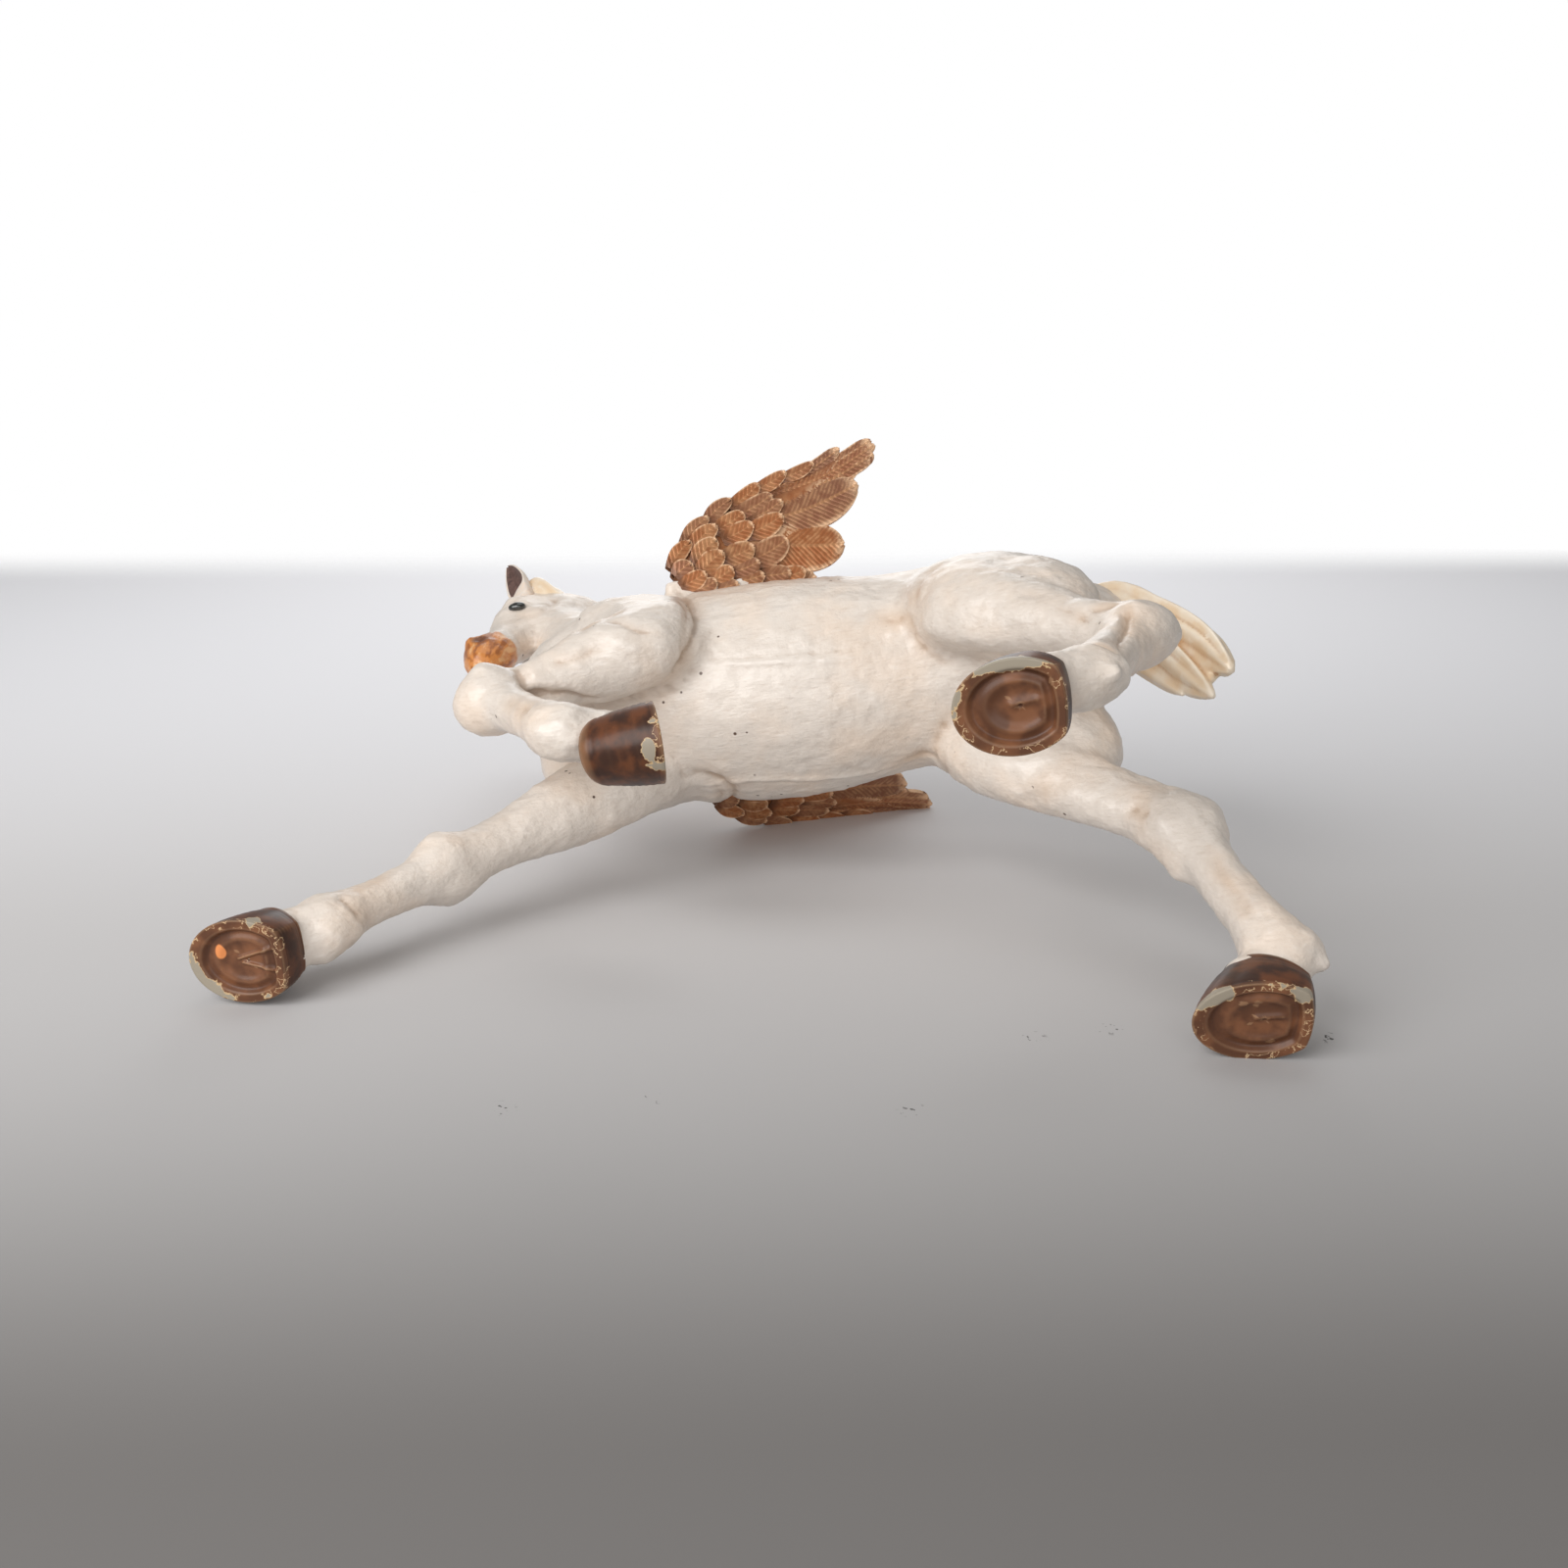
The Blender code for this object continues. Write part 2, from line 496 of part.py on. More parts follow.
def add_tail(shell):
    """The tail, hanging back from the croup, with locks that part towards its tips."""
    add_tube(shell, [
        (TAIL_ROOT, TAIL_WIDTH * 0.6, TAIL_THICKNESS * 1.1),
        (TAIL_BEND, TAIL_WIDTH * 0.7, TAIL_THICKNESS * 1.1),
        (TAIL_MIDDLE, TAIL_WIDTH * 0.85, TAIL_THICKNESS * 0.9),
        (TAIL_MIDDLE.lerp(TAIL_TIP, 0.5), TAIL_WIDTH * 0.7, TAIL_THICKNESS * 0.6),
    ], LEFT, 20)
    for k in range(TAIL_LOCKS):
        share = 2 * k / (TAIL_LOCKS - 1) - 1
        aside = LEFT * share * TAIL_WIDTH / 2
        reach = 1.0 - 0.22 * abs(share) - 0.12 * (k % 2)
        end = TAIL_MIDDLE.lerp(TAIL_TIP, reach) + aside * 0.6
        add_tube(shell, [
            (TAIL_ROOT.lerp(TAIL_BEND, 0.4) + aside * 0.35, TAIL_WIDTH * 0.2, TAIL_THICKNESS),
            (TAIL_BEND + aside * 0.6, TAIL_WIDTH * 0.24, TAIL_THICKNESS * 1.35),
            (TAIL_MIDDLE + aside * 0.85, TAIL_WIDTH * 0.26, TAIL_THICKNESS * 1.1),
            (end, TAIL_WIDTH * 0.12, TAIL_THICKNESS * 0.4),
        ], LEFT, 12)


def add_mane(shell):
    """A short mane along the crest, in locks swept back, and the forelock between the ears."""
    crest = [
        POLL + UP * THROAT_DEPTH * 0.26,
        THROAT - FORWARD * THROAT_DEPTH * 0.45 + UP * THROAT_DEPTH * 0.22,
        NECK_MIDDLE - FORWARD * NECK_DEPTH * 0.42 + UP * NECK_DEPTH * 0.22,
        WITHERS + UP * NECK_ROOT_DEPTH * 0.13,
    ]
    add_tube(shell, [(place, MANE_THICKNESS * 0.9, MANE_LOCK) for place in crest], LEFT, 12)
    path = smoothed([tuple(place) for place in crest], 4)
    for k, place in enumerate(path[:-1]):
        root = Vector(place)
        down = (Vector(path[k + 1]) - root).normalized()
        sweep = (down * 0.9 + Vector(((-1) ** k * 0.22, 0.35, 0.3))).normalized()
        add_tube(shell, [
            (root - sweep * MANE_HEIGHT * 0.5, MANE_THICKNESS, MANE_LOCK * 0.8),
            (root + sweep * MANE_HEIGHT * 0.5, MANE_THICKNESS * 0.9, MANE_LOCK * 0.8),
            (root + sweep * MANE_HEIGHT * 1.4, MANE_THICKNESS * 0.4, MANE_LOCK * 0.3),
        ], LEFT, 12)
    brow = POLL + FORWARD * BROW_DEPTH * 0.35
    add_tube(shell, [
        (POLL + UP * MANE_HEIGHT * 0.6, MANE_THICKNESS, MANE_LOCK * 0.7),
        (brow, MANE_THICKNESS, MANE_LOCK * 0.6),
        (BROW + FORWARD * BROW_DEPTH * 0.48, MANE_THICKNESS * 0.4, MANE_LOCK * 0.3),
    ], LEFT, 12)


def mesh_object(name, shell):
    """An object of a bmesh's faces, turned to face outwards."""
    bmesh.ops.recalc_face_normals(shell, faces=shell.faces)
    mesh = bpy.data.meshes.new(name)
    shell.to_mesh(mesh)
    shell.free()
    item = bpy.data.objects.new(name, mesh)
    bpy.context.collection.objects.link(item)
    return item


def settle(item):
    """Applies an object's modifiers."""
    graph = bpy.context.evaluated_depsgraph_get()
    mesh = bpy.data.meshes.new_from_object(item.evaluated_get(graph))
    item.modifiers.clear()
    old, item.data = item.data, mesh
    bpy.data.meshes.remove(old)


def grow_skin(item, grain, smoothing):
    """Joins an object's overlapping shapes into one closed skin and blends it."""
    remesh = item.modifiers.new("Skin", "REMESH")
    remesh.mode = "VOXEL"
    remesh.voxel_size = grain
    smooth = item.modifiers.new("Blend", "SMOOTH")
    smooth.factor = 0.5
    smooth.iterations = smoothing
    settle(item)


def combine(item, tool, operation):
    """Joins another object's shape to an object or cuts it out, and takes the other out of the scene."""
    boolean = item.modifiers.new("Combine", "BOOLEAN")
    boolean.operation = operation
    boolean.solver = "EXACT"
    boolean.object = tool
    settle(item)
    bpy.data.objects.remove(tool)


def painted(item):
    """Gives an object its pearly off-white paint."""
    paint = bpy.data.materials.new("pearl_paint_on_vinyl")
    paint.use_nodes = True
    shader = paint.node_tree.nodes["Principled BSDF"]
    shader.inputs["Base Color"].default_value = PAINT
    shader.inputs["Roughness"].default_value = PAINT_ROUGHNESS
    item.data.materials.clear()
    item.data.materials.append(paint)


def stand(item):
    """Puts the origin under the middle of the finished figure, on the ground."""
    low = Vector([min(v.co[i] for v in item.data.vertices) for i in range(3)])
    high = Vector([max(v.co[i] for v in item.data.vertices) for i in range(3)])
    middle = (low + high) / 2
    item.data.transform(Matrix.Translation((-middle.x, -middle.y, -low.z)))


def build_figurine():
    """Models every form as a closed shape, grows them into one skin and carves the soles."""
    folded = (LEFT_FORE_SOLE - LEFT_FETLOCK).normalized()
    dorsal = Vector((0.28, 0.19, -0.94))
    right_hoof = Vector((0.12, -1.0, 0.0)).normalized()
    splayed = Vector((math.sin(HOOF_SPLAY), 0.0, math.cos(HOOF_SPLAY)))
    feet = (
        (RIGHT_FORE_SOLE, right_hoof, UP),
        (RIGHT_HIND_SOLE, right_hoof, splayed),
        (LEFT_HIND_SOLE, FORWARD, UP),
        (LEFT_FORE_SOLE, (dorsal - folded * dorsal.dot(folded)).normalized(), -folded),
    )
    flesh, trim = bmesh.new(), bmesh.new()
    add_trunk(flesh)
    add_neck_and_head(flesh)
    add_fore_leg(flesh, RIGHT_ELBOW, RIGHT_KNEE, RIGHT_FETLOCK, *feet[0], -1)
    add_fore_leg(flesh, LEFT_ELBOW, LEFT_KNEE, LEFT_FETLOCK, *feet[3], 1)
    add_hind_leg(flesh, RIGHT_STIFLE, RIGHT_HOCK, RIGHT_HIND_FETLOCK, *feet[1], -1)
    add_hind_leg(flesh, LEFT_STIFLE, LEFT_HOCK, LEFT_HIND_FETLOCK, *feet[2], 1)
    body = mesh_object("body", flesh)
    grow_skin(body, FLESH_GRAIN, FLESH_SMOOTHING)
    add_face_details(trim)
    add_tail(trim)
    add_mane(trim)
    for way in (-1, 1):
        add_wing(trim, way)
    bmesh.ops.recalc_face_normals(trim, faces=trim.faces)
    trim.from_mesh(body.data)
    bpy.data.objects.remove(body)
    item = mesh_object("pegasus_figurine", trim)
    grow_skin(item, GRAIN, SMOOTHING)
    thin = item.modifiers.new("Thin", "DECIMATE")
    thin.ratio = TRIANGLES / sum(len(face.vertices) - 2 for face in item.data.polygons)
    settle(item)
    hooves, hollows = bmesh.new(), bmesh.new()
    for foot in feet:
        add_hoof(hooves, *foot)
        add_sole_hollow(hollows, *foot)
    combine(item, mesh_object("hooves", hooves), "UNION")
    combine(item, mesh_object("sole_hollows", hollows), "DIFFERENCE")
    item.data.shade_smooth()
    item.data.set_sharp_from_angle(angle=SHARP_ANGLE)
    stand(item)
    painted(item)


for old in list(bpy.data.objects):
    bpy.data.objects.remove(old)
build_figurine()
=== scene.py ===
"""A winged foal figurine of painted vinyl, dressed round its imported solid.

Metres. The figurine's own frame has X to its left, Y towards its tail and Z up. MIDDLE moves it into
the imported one. The photograph shows it lying on its right side, so the camera looks up at it from
under its belly.
"""

import math

import bmesh
import bpy
import numpy as np
from mathutils import Matrix, Vector
from mathutils.bvhtree import BVHTree


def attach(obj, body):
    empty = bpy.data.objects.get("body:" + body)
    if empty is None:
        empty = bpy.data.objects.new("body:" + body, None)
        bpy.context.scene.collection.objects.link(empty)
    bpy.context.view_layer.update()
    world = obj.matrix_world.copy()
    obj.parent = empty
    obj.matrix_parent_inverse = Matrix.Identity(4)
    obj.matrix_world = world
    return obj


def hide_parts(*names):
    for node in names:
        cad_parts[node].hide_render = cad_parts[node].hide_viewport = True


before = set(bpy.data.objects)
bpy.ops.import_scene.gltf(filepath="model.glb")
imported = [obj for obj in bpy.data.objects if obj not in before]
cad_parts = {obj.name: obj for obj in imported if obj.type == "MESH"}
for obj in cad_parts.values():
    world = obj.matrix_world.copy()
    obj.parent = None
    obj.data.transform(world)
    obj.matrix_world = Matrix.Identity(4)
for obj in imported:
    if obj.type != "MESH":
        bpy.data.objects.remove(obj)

bl_info = {
    "name": "Winged foal figurine",
    "version": (1, 0, 0),
    "blender": (4, 5, 0),
    "location": "View3D > Sidebar > Foal",
    "description": "Models the painted winged foal round its packed solid",
    "category": "Object",
}

NODE = "pegasus_figurine"
MM = 0.001

# Where the figurine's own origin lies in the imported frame
MIDDLE = Vector((0.00086, 0.00077, 0.0))
LEFT = Vector((1.0, 0.0, 0.0))
UP = Vector((0.0, 0.0, 1.0))
FORWARD = Vector((0.0, -1.0, 0.0))

# Head and ears
POLL = Vector((0.0075, -0.0376, 0.0820))
HEAD_MIDDLE = 0.0070
EYE = Vector((0.0111, -0.0391, 0.0733))
EYE_LENGTH = 0.0022
EYE_HEIGHT = 0.0017
EYE_BULGE = 0.0006
SOLID_EAR = Vector((0.0031, -0.0018, 0.0000))
SOLID_EAR_AIM = Vector((0.42, -0.52, 0.74))
EAR_BASE = Vector((0.0039, -0.0038, -0.0002))
EAR_AIM = Vector((0.43, -0.42, 0.84))
EAR_OPENING = Vector((0.60, -0.70, -0.20))
EAR_LENGTH = 0.0078
EAR_WIDTH = 0.0042
EAR_DEPTH = 0.0030
# Shares of an ear's length, then of its width and depth there
EAR_STATIONS = [
    (-0.22, 0.85, 1.1), (0.15, 0.95, 1.05), (0.42, 1.0, 0.9), (0.75, 0.68, 0.6), (0.93, 0.30, 0.35),
    (1.0, 0.08, 0.2)
]

# Hooves: sole, direction of the toe, direction up the hoof
HOOF_LENGTH = 0.0100
HOOF_WIDTH = 0.0084
HOOF_HEIGHT = 0.0072
HEEL_HEIGHT = 0.0036
CORONET_LENGTH = 0.0068
CORONET_WIDTH = 0.0068
HOOF_SPLAY = math.radians(13)
SOLE_STEP = 0.0006
# The coronet, as shares of the hoof's height, each with how far the hoof has narrowed there
CORONET_LEVELS = (
    (0.80, 2.3), (1.02, 1.7), (1.04, 1.25), (1.00, 1.02), (0.94, 0.88), (0.89, 0.88), (0.86, 0.82)
)
STRIDE = Vector((0.12, -1.0, 0.0)).normalized()
SPLAYED = Vector((math.sin(HOOF_SPLAY), 0.0, math.cos(HOOF_SPLAY)))
RAISED_SOLE = Vector((0.0043, -0.0084, 0.0180))
RAISED_UP = Vector((0.06, -0.94, -0.33)).normalized()
HOOVES = {
    "right_fore_hoof": (Vector((-0.0067, -0.0468, 0.0)), STRIDE, UP, (1.0, 1.0, 0.90)),
    "right_hind_hoof": (
        Vector((-0.0233, 0.0444, HOOF_WIDTH / 2 * math.sin(HOOF_SPLAY))), STRIDE, SPLAYED,
        (1.08, 1.0, 0.90)
    ),
    "left_hind_hoof": (Vector((0.0078, 0.0275, 0.0)), FORWARD, UP, (1.0, 1.0, 0.90)),
    "left_fore_hoof": (RAISED_SOLE, Vector((0.28, 0.19, -0.94)), RAISED_UP, (1.0, 0.98, 1.0)),
}
# Worn places of each rim: direction from the toe towards its left and spread, in degrees, then reach and
# how far in from the rim, or with a minus how far up the wall, their middle is, in mm
WEAR = {
    "right_fore_hoof": ((-25, 42, 1.25, 0.2), (-100, 30, 0.5, 0.2), (105, 12, 1.4, -0.6)),
    "right_hind_hoof": ((35, 18, 1.6, 0.2), (135, 16, 1.2, 0.2), (85, 50, 0.45, 0.0)),
    "left_hind_hoof": ((85, 52, 1.35, 0.25), (12, 16, 1.0, 0.2)),
    "left_fore_hoof": ((-8, 13, 1.5, -1.3), (-28, 11, 1.3, -0.7), (20, 8, 0.9, -0.4)),
}

# Wings: a wing's own plane runs along from its root to its tip, and back from leading to trailing edge
WING_ROOT = Vector((0.0120, -0.0130, 0.0570))
WING_TIP = Vector((0.0247, 0.0105, 0.0750))
WING_ROOT_BACK = Vector((0.0095, 0.0010, 0.0620))
WING_CAMBER = 0.0010
WING_THICKNESS = 0.0018
QUILL_HEIGHT = 0.00008
QUILL_WIDTH = 0.00013
BARB_HEIGHT = 0.00004
BARB_GAP = 0.0007
# Distance along the wing, then where its leading and trailing edges are there
WING_STATIONS = (
    (-0.0010, -0.0010, 0.0020),
    (0.0020, -0.0036, 0.0034),
    (0.0060, -0.0055, 0.0056),
    (0.0110, -0.0056, 0.0080),
    (0.0160, -0.0049, 0.0066),
    (0.0210, -0.0036, 0.0040),
    (0.0260, -0.0022, 0.0018),
    (0.0300, -0.0010, 0.0004),
)
# Long feathers, from the trailing edge to the leading edge: root, tip, width
FLIGHT_FEATHERS = (
    ((6.5, 4.0), (14.7, 9.0), 3.0),
    ((10.5, -1.4), (20.4, 8.0), 6.4),
    ((12.0, -2.0), (27.0, 3.4), 5.6),
    ((14.5, -2.4), (29.0, 1.4), 2.6),
    ((15.5, -2.8), (31.3, 1.8), 1.9),
    ((16.0, -3.3), (32.2, 1.0), 1.8),
    ((16.0, -3.8), (32.3, 0.2), 1.8),
    ((14.0, -4.6), (28.5, -1.5), 1.7),
)
# Scale-like feathers over their roots, from the outermost to the innermost
COVERTS = (
    ((20.0, -3.4), (24.6, -2.2), 1.7),
    ((16.4, -4.3), (21.1, -3.6), 1.9),
    ((12.5, -4.6), (17.4, -4.5), 2.1),
    ((12.0, -3.3), (17.6, -2.4), 2.6),
    ((13.0, -1.8), (18.0, -1.0), 2.4),
    ((11.5, -0.6), (16.7, 0.5), 2.9),
    ((9.4, 2.2), (15.0, 3.2), 3.5),
    ((10.2, 5.6), (14.0, 7.6), 2.6),
    ((9.2, 4.4), (12.4, 6.6), 2.8),
    ((8.6, -4.8), (13.3, -5.2), 2.0),
    ((8.9, -3.4), (13.2, -2.8), 2.5),
    ((8.8, -1.9), (13.0, -1.0), 2.7),
    ((7.0, 0.1), (11.0, 1.3), 3.2),
    ((6.6, 1.9), (10.2, 3.2), 2.8),
    ((6.0, 3.0), (9.5, 4.8), 2.7),
    ((4.6, -4.5), (9.4, -5.2), 1.9),
    ((4.8, -3.1), (9.3, -3.7), 2.4),
    ((3.8, -1.5), (8.0, -2.3), 2.6),
    ((3.2, -0.1), (7.5, -0.5), 2.8),
    ((3.6, 1.3), (7.0, 1.8), 2.6),
    ((2.8, 2.0), (6.2, 3.6), 2.4),
    ((1.3, -3.1), (5.5, -4.2), 2.0),
    ((1.0, -1.8), (3.5, -1.9), 2.5),
    ((0.5, -0.4), (3.9, 0.2), 2.4),
    ((1.0, 0.9), (4.3, 1.8), 2.1),
)

# Tail: its locks as stations of (place in mm, width, thickness)
TAIL_LOCKS = (
    (
        ((1.8, 30.8, 60.2), 4.1, 3.4), ((2.3, 38.2, 57.6), 5.8, 4.0), ((1.1, 42.0, 53.0), 5.8, 3.6),
        ((-0.1, 45.0, 48.5), 5.5, 3.2), ((-0.9, 46.7, 45.0), 4.6, 2.8), ((-1.5, 47.6, 42.2), 3.2, 2.2),
        ((-1.8, 48.1, 40.2), 1.8, 1.4), ((-1.9, 48.2, 39.4), 0.5, 0.5)
    ),
    (
        ((1.2, 31.0, 59.6), 3.9, 3.4), ((0.4, 36.8, 57.2), 4.4, 3.8), ((-1.0, 40.2, 52.8), 4.8, 3.4),
        ((-2.3, 42.5, 48.6), 5.1, 3.0), ((-3.3, 44.1, 44.6), 4.4, 2.6), ((-4.0, 45.4, 41.6), 2.6, 1.8),
        ((-4.5, 46.2, 39.4), 0.6, 0.6)
    ),
    (
        ((1.6, 32.0, 60.6), 3.0, 2.6), ((1.4, 38.2, 57.6), 3.6, 3.0), ((0.0, 42.3, 52.6), 3.8, 3.4),
        ((-1.5, 44.6, 47.9), 3.6, 3.2), ((-2.6, 45.8, 44.6), 3.0, 2.6), ((-3.2, 46.2, 42.6), 1.6, 1.6),
        ((-3.4, 46.4, 41.6), 0.5, 0.6)
    ),
    (
        ((3.0, 32.4, 60.4), 2.3, 2.4), ((4.2, 38.0, 57.8), 2.8, 2.6), ((2.8, 42.2, 53.0), 2.5, 2.4),
        ((1.4, 45.4, 48.4), 2.0, 1.9), ((0.4, 47.0, 45.0), 0.6, 0.7)
    ),
    (
        ((-0.4, 33.2, 58.6), 2.5, 2.4), ((-1.8, 37.8, 54.6), 3.0, 2.6), ((-3.2, 40.4, 50.4), 2.8, 2.4),
        ((-4.2, 42.2, 46.4), 2.1, 1.8), ((-4.9, 43.4, 43.2), 0.5, 0.6)
    ),
)

# Mane: the crest from poll to withers, and the tuft behind the left ear
CREST = (
    Vector((0.0070, -0.0385, 0.0838)),
    Vector((0.0064, -0.0335, 0.0822)),
    Vector((0.0056, -0.0272, 0.0772)),
    Vector((0.0038, -0.0212, 0.0704)),
    Vector((0.0008, -0.0152, 0.0658)),
)
# How far the painted mane lies outwards of the crest and over to its right
CREST_SHIFT = np.array((-0.0008, 0.0008, 0.0010))
MANE_LOCK_LENGTH = 0.0072
MANE_LOCK_WIDTH = 0.0034
MANE_LOCK_THICKNESS = 0.0024
# Size of the mesh that mane and tail are melted into
HAIR_GRAIN = 0.00022
TUFT = (
    (
        ((12.3, -40.6, 85.0), 1.0, 1.2), ((11.9, -39.7, 84.4), 2.2, 2.2), ((11.4, -38.2, 82.8), 2.6, 2.2),
        ((10.4, -35.2, 80.0), 1.2, 1.2), ((9.9, -33.8, 78.8), 0.4, 0.4)
    ),
    (
        ((11.2, -39.9, 83.3), 1.2, 1.2), ((11.2, -39.1, 82.7), 2.2, 2.0), ((10.6, -37.6, 81.2), 2.2, 1.8),
        ((9.8, -35.4, 79.2), 0.6, 0.6)
    ),
    (
        ((10.2, -40.4, 85.2), 2.2, 2.2), ((10.4, -38.4, 84.2), 2.6, 2.4), ((9.8, -35.8, 82.0), 2.2, 2.0),
        ((8.9, -33.2, 79.6), 0.6, 0.6)
    ),
)

# Planes, at x in mm, over which a form of the body or the head is mirrored
BODY_PLANE = 0.0
HEAD_PLANE = 7.0
# Lines pressed into the body: depth, width, the plane over which it is mirrored, and its points in mm
GROOVES = (
    # Line round the haunch, on the flank
    (
        0.00016, 0.0004, BODY_PLANE,
        (
            (9.0, 9.5, 44.6), (8.2, 12.3, 43.3), (8.2, 15.0, 41.7), (6.2, 16.0, 41.3), (4.6, 16.9, 41.0),
            (3.1, 18.5, 40.9), (1.9, 20.7, 40.8)
        )
    ),
    # Border of the haunch against the flank
    (
        0.00028, 0.0007, BODY_PLANE,
        (
            (13.0, 22.0, 52.5), (12.9, 20.5, 47.5), (12.2, 17.7, 44.8), (11.1, 16.7, 42.6),
            (9.4, 16.3, 40.9), (8.1, 17.2, 38.9)
        )
    ),
    # Long muscle of the left thigh
    (
        0.00018, 0.0008, BODY_PLANE,
        ((10.6, 26.5, 34.5), (10.4, 28.9, 33.0), (9.9, 31.3, 31.5), (9.3, 34.0, 29.2))
    ),
    # Rear border of the shoulder and elbow
    (
        0.00070, 0.00065, BODY_PLANE,
        (
            (12.1, -13.5, 58.0), (12.2, -11.5, 53.0), (12.2, -9.5, 47.3), (11.0, -7.8, 41.8),
            (9.8, -7.8, 39.0), (8.4, -8.7, 37.6), (7.1, -10.0, 36.9), (5.8, -11.6, 37.6)
        )
    ),
    (
        0.00030, 0.0004, BODY_PLANE,
        ((12.4, -11.6, 47.5), (11.6, -9.6, 42.0), (10.4, -9.3, 38.6), (8.9, -9.9, 36.6))
    ),
    # Fold behind the raised knee
    (
        0.00110, 0.0007, None,
        (
            (11.9, -26.8, 32.4), (11.4, -26.0, 31.4), (10.2, -24.4, 29.2), (8.4, -23.6, 29.0),
            (7.6, -22.0, 30.4), (7.0, -20.7, 31.4), (6.0, -19.3, 33.1), (5.4, -17.5, 34.6)
        )
    ),
    # Muscles of the raised forearm and shoulder
    (
        0.00022, 0.0004, None,
        ((11.1, -22.1, 31.4), (11.0, -19.9, 31.8), (11.4, -17.7, 32.8), (11.9, -15.4, 33.5))
    ),
    (
        0.00032, 0.0004, None,
        (
            (13.7, -16.6, 37.0), (13.7, -15.4, 36.0), (12.8, -13.2, 34.8), (12.2, -11.6, 34.9),
            (11.1, -9.9, 35.6)
        )
    ),
    (0.00025, 0.0006, None, ((13.5, -20.5, 35.0), (13.6, -17.4, 37.4), (13.3, -14.5, 40.5))),
    # Front border of the shoulder blade
    (0.00030, 0.0008, BODY_PLANE, ((8.5, -24.0, 50.0), (9.0, -22.0, 55.0), (7.4, -19.5, 60.5))),
    # Between the breast muscles
    (
        0.00040, 0.0008, None,
        ((1.2, -31.5, 56.0), (0.9, -33.0, 51.0), (0.6, -31.5, 45.0), (0.4, -28.0, 41.0))
    ),
    # Mouth
    (0.00028, 0.0003, HEAD_PLANE, ((10.2, -42.6, 59.8), (10.0, -40.9, 60.1), (9.7, -39.2, 61.0))),
    # Jaw and throat
    (0.00030, 0.0006, HEAD_PLANE, ((10.8, -35.4, 77.5), (10.6, -34.6, 74.5), (9.8, -35.6, 71.2))),
    # Tendons along the cannons
    (0.00020, 0.0005, None, ((-4.6, -37.0, 17.0), (-4.5, -39.5, 12.0), (-4.9, -41.0, 9.0))),
    (0.00020, 0.0005, None, ((-13.8, 42.3, 20.0), (-16.2, 43.8, 13.5), (-17.6, 45.2, 9.5))),
    (0.00020, 0.0005, None, ((8.6, 38.0, 20.5), (8.9, 36.3, 15.0), (9.3, 34.9, 11.0))),
    (0.00020, 0.0005, None, ((9.9, -26.0, 24.6), (9.2, -22.5, 20.6), (8.9, -20.4, 18.6))),
    # Between bone and tendon of the left hind leg, and over the fetlocks
    (0.00055, 0.0005, None, ((9.6, 37.7, 26.5), (8.9, 37.6, 21.1), (8.7, 36.7, 15.6), (8.4, 36.2, 10.5))),
    (0.00045, 0.0005, None, ((9.6, 32.6, 12.6), (9.9, 33.7, 11.2), (9.5, 35.2, 9.8), (8.6, 36.2, 9.2))),
    (0.00040, 0.0005, None, ((9.7, 30.5, 31.2), (8.8, 32.7, 28.8), (7.9, 34.5, 26.2))),
    (0.00035, 0.0005, None, ((-3.6, -40.6, 8.8), (-5.0, -39.6, 8.4), (-7.2, -39.4, 7.8))),
    # Above the hocks, between bone and tendon
    (0.00035, 0.0007, None, ((-11.2, 35.5, 26.5), (-12.2, 37.6, 25.2), (-13.2, 39.0, 25.0))),
    (0.00035, 0.0007, None, ((8.4, 34.2, 28.4), (8.2, 36.2, 27.6), (8.3, 37.6, 27.6))),
)
# Forms that stand out: height, width, the plane over which they are mirrored, and their points in mm
RIDGES = (
    # Inside of the thigh, under the haunch
    (0.00060, 0.0016, None, ((8.4, 16.9, 39.6), (7.4, 19.3, 36.7), (6.5, 23.4, 34.1), (7.1, 26.9, 31.7))),
    # Triceps and elbow
    (0.00030, 0.0011, BODY_PLANE, ((12.6, -12.5, 50.5), (12.8, -11.0, 45.0), (11.8, -10.2, 40.4))),
    # Muscle of the raised forearm
    (
        0.00022, 0.0008, None,
        ((13.5, -18.4, 35.7), (12.4, -15.4, 33.8), (11.2, -13.9, 33.3), (10.5, -11.8, 34.0))
    ),
    # Cheekbone, and the bone above the eye
    (0.00028, 0.0006, HEAD_PLANE, ((11.2, -42.0, 73.6), (11.4, -40.6, 72.6), (11.2, -38.6, 73.2))),
    # Knees: outer and inner bones
    (0.00030, 0.0010, None, ((-4.0, -35.0, 22.2), (-3.9, -35.6, 20.0))),
    (0.00030, 0.0010, None, ((-10.2, -34.6, 22.2), (-10.2, -35.4, 20.0))),
    (0.00030, 0.0010, None, ((11.6, -29.0, 30.4), (11.6, -28.8, 28.0))),
    # Belly panel left by the mould
    (
        0.00030, 0.0004, None,
        ((6.7, -7.7, 39.4), (6.3, -2.9, 39.1), (5.9, 1.5, 39.1), (5.2, 7.4, 39.7), (5.0, 12.0, 40.7))
    ),
    (
        0.00030, 0.0004, None,
        (
            (-6.4, -13.5, 38.3), (-7.3, -10.0, 40.5), (-7.1, -4.9, 39.9), (-7.7, -0.2, 40.3),
            (-8.5, 4.4, 41.4), (-8.9, 9.1, 43.1), (-8.2, 13.4, 43.5)
        )
    ),
    # Upper eyelids
    (
        0.00035, 0.0004, HEAD_PLANE,
        ((11.0, -40.8, 73.2), (11.3, -39.9, 74.5), (11.3, -38.6, 74.8), (11.0, -37.6, 74.0))
    ),
)
